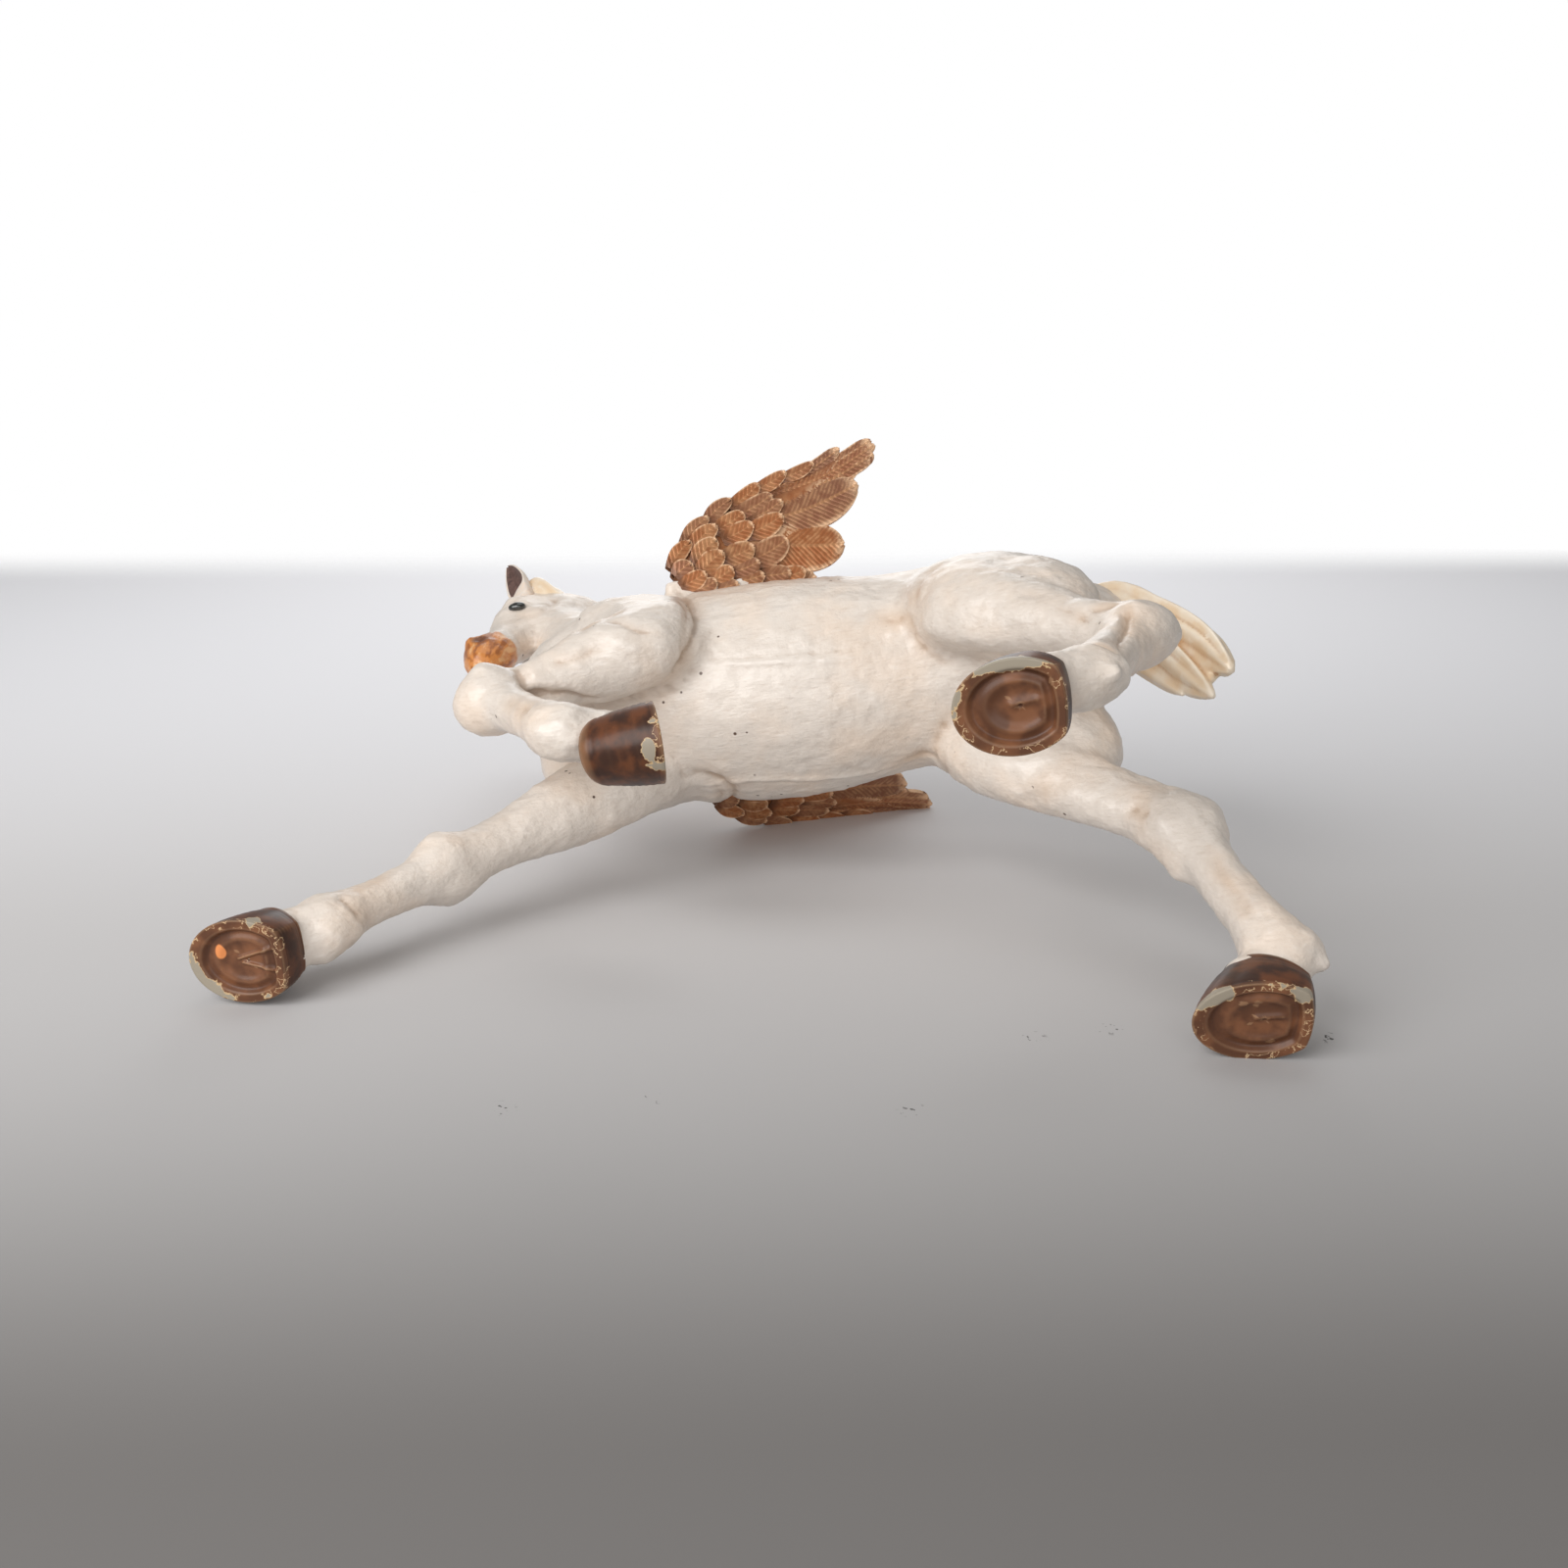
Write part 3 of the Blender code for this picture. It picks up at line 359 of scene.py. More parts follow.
# Hollows (and, with a depth under zero, swellings): depth, width and place, all in mm
SPOTS = (
    (1.8, 4.2, (10.8, -28.2, 74.8)),
    (1.0, 4.0, (10.0, -24.4, 71.0)),
    (-1.4, 4.0, (12.2, -20.8, 47.3)),
    (-0.5, 4.0, (13.4, -14.0, 47.0)),
    (0.8, 2.3, (11.4, -39.3, 70.6)),
    (0.8, 2.3, (2.6, -39.3, 70.6)),
    (0.25, 1.2, (11.3, -39.1, 73.3)),
    (0.25, 1.2, (2.7, -39.1, 73.3)),
    (0.6, 0.7, (9.7, -40.8, 61.6)),
    (0.6, 0.7, (4.2, -40.8, 61.6)),
    (-0.9, 1.9, (-8.9, -42.0, 5.6)),
    (-0.5, 1.8, (-6.8, -40.6, 6.0)),
    (-0.9, 1.7, (-17.0, 39.0, 20.6)),
    (-0.8, 0.8, (-21.4, 50.3, 7.6)),
    (-1.0, 0.8, (7.9, 35.3, 6.7)),
    (-0.4, 1.8, (9.5, 33.6, 28.6)),
    (-0.5, 1.6, (9.4, 38.2, 25.4)),
    (-0.4, 1.5, (-4.0, -34.4, 21.6)),
    (-0.4, 1.3, (11.8, -29.4, 29.6)),
    (0.5, 1.3, (8.0, -23.4, 29.0)),
)
NOSTRILS = (Vector((0.0097, -0.0408, 0.0616)), Vector((0.0042, -0.0408, 0.0616)))

# Camera and table, from the belly, the wing tips, the soles and what touches the table in the photograph
CAMERA_PLACE = Vector((0.04254, 0.03277, -0.12579))
CAMERA_AHEAD = Vector((-0.28287, -0.18835, 0.94048))
CAMERA_UP = Vector((0.94281, 0.12566, 0.30874))
TABLE_POINT = Vector((-0.01694, 0.02237, -0.12833))
TABLE_UP = Vector((0.98419, 0.17206, 0.04195))
PIXELS = 1600
FAR_EDGE = ((-60, 541), (1660, 562))
# The lens is taken as long as its sensor is wide, in mm
SENSOR = 36.0
# How far the table comes towards the viewer, and how far the ground reaches to each side
TABLE_REACH = 1.6
GROUND_REACH = 0.4
# Nearness at which the table starts to fade into the white behind it, and where it is gone
FADE = (0.146, 0.126)
SCUFFS = ((1132, 1050), (1054, 1058), (1357, 1059), (664, 1122), (512, 1131), (932, 1133))


def linear(code):
    """A colour's linear values from its sRGB hex code."""
    out = []
    for k in (1, 3, 5):
        value = int(code[k:k + 2], 16) / 255
        out.append(value / 12.92 if value <= 0.04045 else ((value + 0.055) / 1.055) ** 2.4)
    return tuple(out)


# Modelling


def deselect():
    if bpy.context.mode != "OBJECT":
        bpy.ops.object.mode_set(mode="OBJECT")
    bpy.ops.object.select_all(action="DESELECT")


def choose(*items):
    """Selects these objects alone, the first one active."""
    deselect()
    for item in items:
        item.select_set(True)
    bpy.context.view_layer.objects.active = items[0]


def apply_modifier(item, name, kind, **settings):
    """Adds a modifier with its settings and applies it."""
    choose(item)
    modifier = item.modifiers.new(name, kind)
    for key, value in settings.items():
        setattr(modifier, key, value)
    bpy.ops.object.modifier_apply(modifier=name)


def coordinates(item):
    """The points of an object's mesh, one row each."""
    out = np.empty(len(item.data.vertices) * 3)
    item.data.vertices.foreach_get("co", out)
    return out.reshape(-1, 3)


def set_coordinates(item, points):
    item.data.vertices.foreach_set("co", np.ascontiguousarray(points).ravel())
    item.data.update()


def point_attribute(item, name, values):
    """Keeps one number for each point of a mesh, for its material to read."""
    layer = item.data.attributes.new(name, "FLOAT", "POINT")
    layer.data.foreach_set("value", np.asarray(values, dtype=np.float32))


def smoothed(rows, steps=4):
    """Rows of numbers with steps between each two, along a smooth curve through them."""
    out = []
    for i in range(len(rows) - 1):
        a, b, c, d = rows[max(i - 1, 0)], rows[i], rows[i + 1], rows[min(i + 2, len(rows) - 1)]
        for k in range(steps):
            t = k / steps
            row = []
            for p, q, r, s in zip(a, b, c, d):
                bend = (2 * p - 5 * q + 4 * r - s) * t ** 2 + (3 * q - p - 3 * r + s) * t ** 3
                row.append(q + ((r - p) * t + bend) / 2)
            out.append(row)
    out.append(list(rows[-1]))
    return out


def smooth_step(low, high, values):
    t = np.clip((values - low) / (high - low), 0.0, 1.0)
    return t * t * (3 - 2 * t)


def loft(name, rings):
    """A closed skin through rings of as many points each, drawn out ring by ring from a filled circle."""
    deselect()
    bpy.ops.mesh.primitive_circle_add(vertices=len(rings[0]), fill_type="NGON")
    item = bpy.context.object
    item.name = item.data.name = name
    bpy.ops.object.mode_set(mode="EDIT")
    bpy.ops.mesh.select_all(action="SELECT")
    for i, ring in enumerate(rings):
        if i:
            bpy.ops.mesh.extrude_region_move()
        shape = bmesh.from_edit_mesh(item.data)
        fresh = [v for v in shape.verts if v.select]
        numbers = {
            tuple(v.co): order[tuple(v.co)] for v in fresh
        } if i else {tuple(v.co): k for k, v in enumerate(fresh)}
        order = {}
        for v in fresh:
            k = numbers[tuple(v.co)]
            v.co = ring[k]
            order[tuple(v.co)] = k
        bmesh.update_edit_mesh(item.data)
    bpy.ops.mesh.select_all(action="SELECT")
    bpy.ops.mesh.normals_make_consistent(inside=False)
    bpy.ops.object.mode_set(mode="OBJECT")
    bpy.ops.object.shade_smooth()
    return item


def join(name, items):
    """One object of several."""
    choose(*items)
    bpy.ops.object.join()
    item = bpy.context.object
    item.name = item.data.name = name
    return item


def finish_piece(item, *materials):
    """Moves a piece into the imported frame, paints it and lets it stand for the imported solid."""
    choose(item)
    item.data.transform(Matrix.Translation(MIDDLE) @ item.matrix_world)
    item.matrix_world = Matrix.Identity(4)
    item.data.materials.clear()
    for material in materials:
        item.data.materials.append(material)
    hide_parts(NODE)
    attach(item, "root")
    return item


# Materials


def add_node(tree, kind, inputs=(), output=0, **settings):
    """Adds a node with its settings, sets or links its inputs, and returns one of its outputs."""
    node = tree.nodes.new("ShaderNode" + kind)
    for key, value in settings.items():
        setattr(node, key, value)
    for key, value in inputs.items() if isinstance(inputs, dict) else enumerate(inputs):
        socket = node.inputs[key]
        if isinstance(value, bpy.types.NodeSocket):
            tree.links.new(value, socket)
        else:
            socket.default_value = (*value[:3], 1.0) if socket.type == "RGBA" else value
    return node.outputs[output]


def new_material(name, roughness, **sockets):
    """A material with its principled shader set up, and its node tree."""
    material = bpy.data.materials.new(name)
    material.use_nodes = True
    shader = material.node_tree.nodes["Principled BSDF"]
    shader.inputs["Roughness"].default_value = roughness
    for key, value in sockets.items():
        shader.inputs[key.replace("_", " ")].default_value = value
    return material, material.node_tree, shader


def layer(tree, under, colour, share, low=None, high=None, most=1.0):
    """Lays a colour over another by a share, or where that comes from low to high, up to most."""
    if low is not None:
        values = (share, low, high, 0.0, most)
        share = add_node(tree, "MapRange", values, interpolation_type="SMOOTHSTEP")
    return add_node(tree, "Mix", {0: share, 6: under, 7: colour}, 2, data_type="RGBA")


def gated(tree, gate, value, low, high, most=1.0):
    """A gate times how far a value has come from low to high, up to most."""
    share = add_node(tree, "MapRange", (value, low, high, 0.0, most), interpolation_type="SMOOTHSTEP")
    return add_node(tree, "Math", (gate, share), operation="MULTIPLY")


def blotches(tree, place, size, detail=3.0, stretch=(1.0, 1.0, 1.0)):
    """Soft blotches about as large as size, drawn out by stretch."""
    scale = tuple(1 / (size * part) for part in stretch)
    spread = add_node(tree, "Mapping", {0: place, 3: scale})
    return add_node(tree, "TexNoise", {"Vector": spread, "Scale": 1.0, "Detail": detail})


def near(tree, place, point, low, high):
    """One close to a point, falling to nothing between two distances from it."""
    gap = add_node(tree, "VectorMath", (place, point), "Value", operation="DISTANCE")
    return add_node(tree, "MapRange", (gap, low, high, 1.0, 0.0), interpolation_type="SMOOTHSTEP")


def pearl_paint(look):
    """Pearly off-white acrylic brushed over moulded PVC, with painted brown shade in its creases and
    painted highlights on its ridges.
    """
    material, tree, shader = new_material(
        "pearl_acrylic_on_pvc", 0.38, Coat_Weight=0.3, Coat_Roughness=0.26
    )
    place = add_node(tree, "TexCoord", output="Object")
    height = add_node(tree, "SeparateXYZ", (place,), "Z")
    back = add_node(tree, "SeparateXYZ", (place,), "Y")
    crease = add_node(tree, "Attribute", output="Fac", attribute_name="crease")
    # Warm and cool clouds, 9 mm wide, of uneven paint
    clouds = blotches(tree, place, 0.009)
    colour = layer(tree, look.coat, look.coat_warm, clouds, 0.42, 0.66, 0.75)
    # Brush strokes along the coat, 0.3 mm wide
    strokes = blotches(tree, place, 0.0003, 4.0, (0.9, 4.0, 1.6))
    colour = layer(tree, colour, linear("#efe6dd"), strokes, 0.52, 0.74, 0.28)
    colour = layer(tree, colour, linear("#bfab99"), strokes, 0.46, 0.28, 0.24)
    # Painted shade in the creases, warmer along the pressed lines, and painted highlights on the ridges
    lie = add_node(tree, "NewGeometry", output="Pointiness")
    colour = layer(tree, colour, look.crease_shade, lie, 0.495, 0.455, 0.62)
    colour = layer(tree, colour, linear("#eee5dc"), lie, 0.508, 0.54, 0.28)
    colour = layer(tree, colour, linear("#bd9c7c"), gated(tree, crease, clouds, 0.2, 0.8, 0.6))
    # Specks of worn paint, up to 0.4 mm wide, in loose groups
    dots = add_node(tree, "TexVoronoi", {"Vector": place, "Scale": 1 / 0.0021}, "Distance")
    groups = add_node(
        tree, "MapRange", (blotches(tree, place, 0.007), 0.56, 0.60), interpolation_type="SMOOTHSTEP"
    )
    specks = gated(tree, groups, dots, 0.11, 0.07)
    colour = layer(tree, colour, linear("#5b4638"), specks)
    # Blonde along the crest, where the mane is moulded with the neck
    mane = add_node(tree, "Attribute", output="Fac", attribute_name="mane")
    colour = layer(tree, colour, look.hair, mane)
    # Painted shade between the moulded strands of the crest
    colour = layer(tree, colour, look.strand_shade, gated(tree, mane, lie, 0.498, 0.46, 0.8))
    # Golden orange muzzle with brown strokes running down it
    wobble = add_node(tree, "Math", (blotches(tree, place, 0.0012), 0.0016), operation="MULTIPLY")
    low_head = add_node(tree, "Math", (height, wobble), operation="ADD")
    low_head = add_node(tree, "MapRange", (low_head, 0.0654, 0.0646), interpolation_type="SMOOTHSTEP")
    muzzle = gated(tree, low_head, height, 0.052, 0.054)
    muzzle = gated(tree, muzzle, back, -0.0325, -0.0345)
    streaks = blotches(tree, place, 0.0014, 2.0, (1.0, 0.7, 3.0))
    orange = layer(tree, look.muzzle, linear("#96531f"), streaks, 0.50, 0.62, 0.85)
    orange = layer(tree, orange, linear("#e8b982"), streaks, 0.46, 0.36, 0.7)
    colour = layer(tree, colour, orange, muzzle)
    for nostril in NOSTRILS:
        colour = layer(
            tree, colour, linear("#6b3a1c"), near(tree, place, nostril + MIDDLE, 0.0006, 0.0015)
        )
    tree.links.new(colour, shader.inputs["Base Color"])
    relief = add_node(tree, "Math", (blotches(tree, place, 0.0009), 2.0), operation="MULTIPLY")
    relief = add_node(tree, "Math", (strokes, relief), operation="ADD")
    bump = add_node(tree, "Bump", {"Height": relief, "Strength": 0.6, "Distance": 0.00011})
    tree.links.new(bump, shader.inputs["Normal"])
    return material


def bronze_paint(look):
    """Metallic brown acrylic, dry-brushed with gold on the edges of the feathers, with painted shade at
    their roots and in the grooves of their barbs.
    """
    material, tree, shader = new_material("bronze_acrylic_on_pvc", 0.36, Metallic=0.35, Coat_Weight=0.15)
    place = add_node(tree, "TexCoord", output="Object")
    shape = add_node(tree, "UVMap", uv_map="shape")
    size = add_node(tree, "UVMap", uv_map="size")
    across = add_node(tree, "SeparateXYZ", (shape,), "X")
    along = add_node(tree, "SeparateXYZ", (shape,), "Y")
    wide = add_node(tree, "SeparateXYZ", (size,), "X")
    far = add_node(tree, "SeparateXYZ", (size,), "Y")
    side = add_node(tree, "Math", (across, 2.0), operation="MULTIPLY")
    side = add_node(tree, "Math", (side, 1.0), operation="SUBTRACT")
    side = add_node(tree, "Math", (side,), operation="ABSOLUTE")
    blotch = blotches(tree, place, 0.0011)
    tint = add_node(tree, "Attribute", output="Fac", attribute_name="tint")
    colour = layer(tree, look.wing, look.wing_light, blotch, 0.35, 0.68)
    colour = layer(tree, colour, linear("#8a5f4c"), tint, 0.5, 1.0, 0.5)
    colour = layer(tree, colour, linear("#b4693a"), tint, 0.5, 0.0, 0.45)
    # Barbs, 0.7 mm apart, slanting back from the quill, with painted shade in their grooves and gold on
    # their crests
    slant = add_node(tree, "Math", (wide,), operation="ABSOLUTE")
    slant = add_node(tree, "Math", (far, slant), operation="SUBTRACT")
    wave = add_node(tree, "Math", (slant, 2 * math.pi / (BARB_GAP / MM)), operation="MULTIPLY")
    wave = add_node(tree, "Math", (wave,), operation="SINE")
    barbs = add_node(tree, "MapRange", (wave, -0.6, 0.9), interpolation_type="SMOOTHSTEP")
    colour = layer(tree, colour, linear("#7a4a2a"), wave, -0.2, -0.9, 0.26)
    gold = add_node(tree, "MapRange", (wave, 0.2, 0.95, 0.0, 0.42), interpolation_type="SMOOTHSTEP")
    gold = gated(tree, gold, blotch, 0.42, 0.60)
    gold = gated(tree, gold, far, 4.5, 8.0)
    colour = layer(tree, colour, linear("#dca678"), gold)
    # Painted shade on the roots, under the feather in front
    colour = layer(tree, colour, look.feather_shade, along, 0.42, 0.05, 0.85)
    # Greyer above 66 mm, towards the wing tips
    height = add_node(tree, "SeparateXYZ", (place,), "Z")
    colour = layer(tree, colour, linear("#7d5a50"), height, 0.066, 0.076, 0.45)
    # Gold edges, broken up as the dry brush leaves them
    rim = add_node(tree, "MapRange", (side, 0.74, 1.0), interpolation_type="SMOOTHSTEP")
    rim = gated(tree, rim, along, 0.34, 0.66)
    tip = add_node(tree, "MapRange", (along, 0.89, 1.0), interpolation_type="SMOOTHSTEP")
    rim = add_node(tree, "Math", (rim, tip), operation="MAXIMUM")
    rim = gated(tree, rim, blotches(tree, place, 0.0008), 0.32, 0.50)
    colour = layer(tree, colour, look.wing_edge, rim)
    quill = add_node(tree, "MapRange", (side, 0.09, 0.03), interpolation_type="SMOOTHSTEP")
    quill = gated(tree, quill, along, 0.15, 0.4, 0.5)
    colour = layer(tree, colour, look.wing_light, quill)
    tree.links.new(colour, shader.inputs["Base Color"])
    bump = add_node(tree, "Bump", {"Height": barbs, "Strength": 0.4, "Distance": 0.00006})
    tree.links.new(bump, shader.inputs["Normal"])
    return material


def hoof_paint(look):
    """Brown enamel, chipped along the rim down to grey vinyl, with pale broken edges round each chip."""
    material, tree, shader = new_material(
        "brown_enamel_on_pvc", 0.36, Specular_IOR_Level=0.25, Coat_Weight=0.08, Coat_Roughness=0.2
    )
    place = add_node(tree, "TexCoord", output="Object")
    edge = add_node(tree, "Attribute", output="Fac", attribute_name="edge")
    wear = add_node(tree, "Attribute", output="Fac", attribute_name="wear")
    spot = add_node(tree, "Attribute", output="Fac", attribute_name="spot")
    under = add_node(tree, "MapRange", (edge, 0.0, 0.15), interpolation_type="SMOOTHSTEP")
    blotch = blotches(tree, place, 0.0022)
    wall = layer(tree, look.hoof, look.hoof_light, blotch, 0.38, 0.66)
    sole = layer(tree, look.sole, linear("#7c5137"), blotch, 0.38, 0.66)
    colour = layer(tree, wall, sole, under)
    # Painted highlights on the ridges and painted shade in the hollows
    lie = add_node(tree, "NewGeometry", output="Pointiness")
    colour = layer(tree, colour, linear("#a98463"), lie, 0.505, 0.56, 0.5)
    colour = layer(tree, colour, linear("#38211a"), lie, 0.495, 0.44, 0.5)
    # Broken pale lines within 0.6 mm of the rim
    flakes = blotches(tree, place, 0.0011, 4.0)
    line = add_node(tree, "Math", (flakes, 0.56), operation="SUBTRACT")
    line = add_node(tree, "Math", (line,), operation="ABSOLUTE")
    line = add_node(tree, "MapRange", (line, 0.006, 0.016, 1.0, 0.0), interpolation_type="SMOOTHSTEP")
    rim = add_node(tree, "Math", (edge, 0.1), operation="SUBTRACT")
    rim = add_node(tree, "Math", (rim,), operation="ABSOLUTE")
    rim = add_node(tree, "MapRange", (rim, 0.75, 0.45), interpolation_type="SMOOTHSTEP")
    colour = layer(
        tree, colour, linear("#cfb089"), add_node(tree, "Math", (line, rim), operation="MULTIPLY")
    )
    # Worn places, with a ragged border
    ragged = add_node(tree, "Math", (flakes, 0.5), operation="SUBTRACT")
    ragged = add_node(tree, "Math", (ragged, 2.0), operation="MULTIPLY")
    ragged = add_node(tree, "Math", (wear, ragged), operation="ADD")
    colour = layer(tree, colour, linear("#c9ab82"), ragged, -0.12, -0.05)
    colour = layer(tree, colour, look.worn, ragged, -0.02, 0.05)
    colour = layer(tree, colour, linear("#dc8a52"), spot, 0.45, 0.62)
    tree.links.new(colour, shader.inputs["Base Color"])
    return material


def hair_paint(look):
    """Blonde pearly acrylic on moulded hair, with painted highlights on its ridges and painted tan shade
    between the strands.
    """
    material, tree, shader = new_material(
        "blonde_acrylic_on_pvc", 0.36, Metallic=0.12, Coat_Weight=0.25, Coat_Roughness=0.25
    )
    place = add_node(tree, "TexCoord", output="Object")
    blotch = blotches(tree, place, 0.003)
    colour = layer(tree, look.hair, linear("#f1e2cd"), blotch, 0.38, 0.66)
    lie = add_node(tree, "NewGeometry", output="Pointiness")
    # Painted shade between the strands and painted highlights on their ridges
    colour = layer(tree, colour, look.strand_shade, lie, 0.498, 0.455, 0.8)
    colour = layer(tree, colour, linear("#f8ecdb"), lie, 0.506, 0.54, 0.5)
    tree.links.new(colour, shader.inputs["Base Color"])
    return material


def ear_paint(look):
    """The body's pearl acrylic outside, and a matt dark brown inside the ear."""
    material, tree, shader = new_material("ear_acrylic_on_pvc", 0.5)
    place = add_node(tree, "TexCoord", output="Object")
    inner = add_node(tree, "Attribute", output="Fac", attribute_name="inner")
    strokes = blotches(tree, place, 0.0005, 4.0)
    pearl = layer(tree, look.coat, look.coat_warm, strokes, 0.35, 0.7)
    dark = layer(tree, linear("#4a352f"), linear("#6b5048"), strokes, 0.3, 0.7)
    colour = layer(tree, pearl, dark, inner, 0.35, 0.65)
    tree.links.new(colour, shader.inputs["Base Color"])
    return material


def eye_paint():
    """Gloss black enamel with a trace of green grey in it, wet to the eye."""
    material, tree, shader = new_material("black_enamel_eye", 0.12, Coat_Weight=1.0, Coat_Roughness=0.05)
    place = add_node(tree, "TexCoord", output="Object")
    blotch = blotches(tree, place, 0.0006)
    colour = layer(tree, linear("#0f0d0c"), linear("#2a302c"), blotch, 0.4, 0.65)
    tree.links.new(colour, shader.inputs["Base Color"])
    return material


# Body


def box_at(centre, along, up, size):
    """A box turned so that its first side runs along and its third side up."""
    deselect()
    bpy.ops.mesh.primitive_cube_add(size=1.0)
    item = bpy.context.object
    along = along.normalized()
    up = (up - along * up.dot(along)).normalized()
    across = up.cross(along)
    turn = Matrix((along * size[0], across * size[1], up * size[2])).transposed().to_4x4()
    item.data.transform(Matrix.Translation(centre) @ turn)
    return item


def hoof_axes(toe, up):
    toe = (toe - up * toe.dot(up)).normalized()
    return toe, up.cross(toe)


def body_cutters():
    """Boxes over the hooves, wings, ears and tail, which are pieces of their own."""
    out = []
    tilt = math.atan2(HOOF_HEIGHT - HEEL_HEIGHT, HOOF_LENGTH)
    for sole, toe, up, scale in HOOVES.values():
        toe = hoof_axes(toe, up)[0]
        along = toe * math.cos(tilt) + up * math.sin(tilt)
        top = up * math.cos(tilt) - toe * math.sin(tilt)
        middle = sole + up * (HOOF_HEIGHT + HEEL_HEIGHT) * 0.40 * scale[2]
        out.append(box_at(middle - top * 0.005, along, top, (0.017, 0.013, 0.010)))
    for way in (-1, 1):
        run = wing_point(way, 0.0120, 0.0091) - wing_point(way, 0.0, 0.0)
        rise = wing_point(way, 0.00604, -0.00797) - wing_point(way, 0.0, 0.0)
        middle = wing_point(way, 0.0060, 0.00455) + rise.normalized() * 0.0146 + run.normalized() * 0.004
        out.append(box_at(middle, run, rise.cross(run), (0.036, 0.026, 0.0064)))
        ear, aim = ear_place(way, SOLID_EAR, SOLID_EAR_AIM)
        out.append(box_at(ear + aim * 0.0078, aim, FORWARD, (0.0130, 0.0090, 0.0060)))
    out.append(box_at(Vector((-0.001, 0.0505, 0.0490)), FORWARD, UP, (0.0240, 0.0200, 0.0300)))
    return join("cutters", out)


def surface(item):
    """The points of a body's mesh and the directions out of it there."""
    normals = np.empty(len(item.data.vertices) * 3)
    item.data.vertices.foreach_get("normal", normals)
    return coordinates(item), normals.reshape(-1, 3)


def press_lines(item, lines, way):
    """Moves a body's points in or out along lines on it, fading at their ends. Returns how near each is."""
    shape = bmesh.new()
    shape.from_mesh(item.data)
    tree = BVHTree.FromBMesh(shape)
    shape.free()
    points, normals = surface(item)
    shift = np.zeros(len(points))
    nearness = np.zeros(len(points))
    for depth, width, plane, path in lines:
        paths = [path]
        if plane is not None:
            paths.append([(2 * plane - x, y, z) for x, y, z in path])
        for places in paths:
            knots = smoothed([(x * MM, y * MM, z * MM) for x, y, z in places], 6)
            knots = np.array([tree.find_nearest(Vector(knot))[0] for knot in knots])
            middle = knots.mean(0)
            reach = np.linalg.norm(knots - middle, axis=1).max() + 6 * width
            close = np.where(np.linalg.norm(points - middle, axis=1) < reach)[0]
            gap = np.full(len(close), 1.0)
            along = np.zeros(len(close))
            for i, (a, b) in enumerate(zip(knots, knots[1:])):
                run = b - a
                share = np.clip(((points[close] - a) @ run) / max(run @ run, 1e-12), 0.0, 1.0)
                new = np.linalg.norm(points[close] - a - share[:, None] * run, axis=1)
                along = np.where(new < gap, (i + share) / (len(knots) - 1), along)
                gap = np.minimum(gap, new)
            fade = smooth_step(0.0, 0.3, np.minimum(along, 1 - along) + 0.02)
            shift[close] += way * depth * fade * np.exp(-(gap / width) ** 2)
            nearness[close] = np.maximum(nearness[close], fade * np.exp(-(gap / (width * 2.2)) ** 2))
    set_coordinates(item, points + normals * shift[:, None])
    return nearness


def press_spot(item, depth, width, centre):
    """Presses a soft round hollow into a body, or draws out a swelling where the depth is under zero."""
    points, normals = surface(item)
    gap = np.linalg.norm(points - np.array(centre) * MM, axis=1)
    push = depth * MM * np.exp(-(gap / (width * MM)) ** 2)
    set_coordinates(item, points - normals * push[:, None])


class FoalLook(bpy.types.PropertyGroup):
    grain: bpy.props.FloatProperty(
        name="Grain", description="Size of the mesh that the body is modelled on", default=0.00041,
        min=0.0002, unit="LENGTH"
    )
    lumps: bpy.props.FloatProperty(
        name="Lumps", description="Height of the uneven modelling all over the body", default=0.00045,
        min=0.0, unit="LENGTH"
    )
    feather: bpy.props.FloatProperty(
        name="Feather", description="Thickness of one feather", default=0.00036, min=0.0002, unit="LENGTH"
    )
    coat: bpy.props.FloatVectorProperty(
        name="Coat", description="Pearly paint of the body", subtype="COLOR", default=linear("#dbd0c5")
    )
    coat_warm: bpy.props.FloatVectorProperty(
        name="Warm coat", description="Where the body's paint is warmer", subtype="COLOR",
        default=linear("#e3d0be")
    )
    # Painted shade in the body's creases
    crease_shade: bpy.props.FloatVectorProperty(
        name="Crease shade", description="Thin paint left in the body's creases", subtype="COLOR",
        default=linear("#a58e7a")
    )
    muzzle: bpy.props.FloatVectorProperty(
        name="Muzzle", description="Orange of the muzzle", subtype="COLOR", default=linear("#cf8542")
    )
    wing: bpy.props.FloatVectorProperty(
        name="Wing", description="Brown of the feathers", subtype="COLOR", default=linear("#a1663d")
    )
    wing_light: bpy.props.FloatVectorProperty(
        name="Light wing", description="Where the feathers are paler", subtype="COLOR",
        default=linear("#c79265")
    )
    # Painted shade at the feathers' roots, under the feather in front
    feather_shade: bpy.props.FloatVectorProperty(
        name="Dark wing", description="Between the feathers", subtype="COLOR", default=linear("#5f3a22")
    )
    wing_edge: bpy.props.FloatVectorProperty(
        name="Feather edge", description="Gold on the feathers' edges", subtype="COLOR",
        default=linear("#efc49c")
    )
    hoof: bpy.props.FloatVectorProperty(
        name="Hoof", description="Brown of the hooves' walls", subtype="COLOR", default=linear("#3b241a")
    )
    hoof_light: bpy.props.FloatVectorProperty(
        name="Light hoof", description="Where the hooves' walls are warmer", subtype="COLOR",
        default=linear("#643a22")
    )
    sole: bpy.props.FloatVectorProperty(
        name="Sole", description="Brown of the soles", subtype="COLOR", default=linear("#5c3b29")
    )
    worn: bpy.props.FloatVectorProperty(
        name="Worn rim", description="Bare vinyl where the rims are worn", subtype="COLOR",
        default=linear("#9a9080")
    )
    hair: bpy.props.FloatVectorProperty(
        name="Hair", description="Blonde of the mane and tail", subtype="COLOR", default=linear("#e8cfae")
    )
    # Painted shade between the strands
    strand_shade: bpy.props.FloatVectorProperty(
        name="Dark hair", description="Between the strands", subtype="COLOR", default=linear("#c09468")
    )


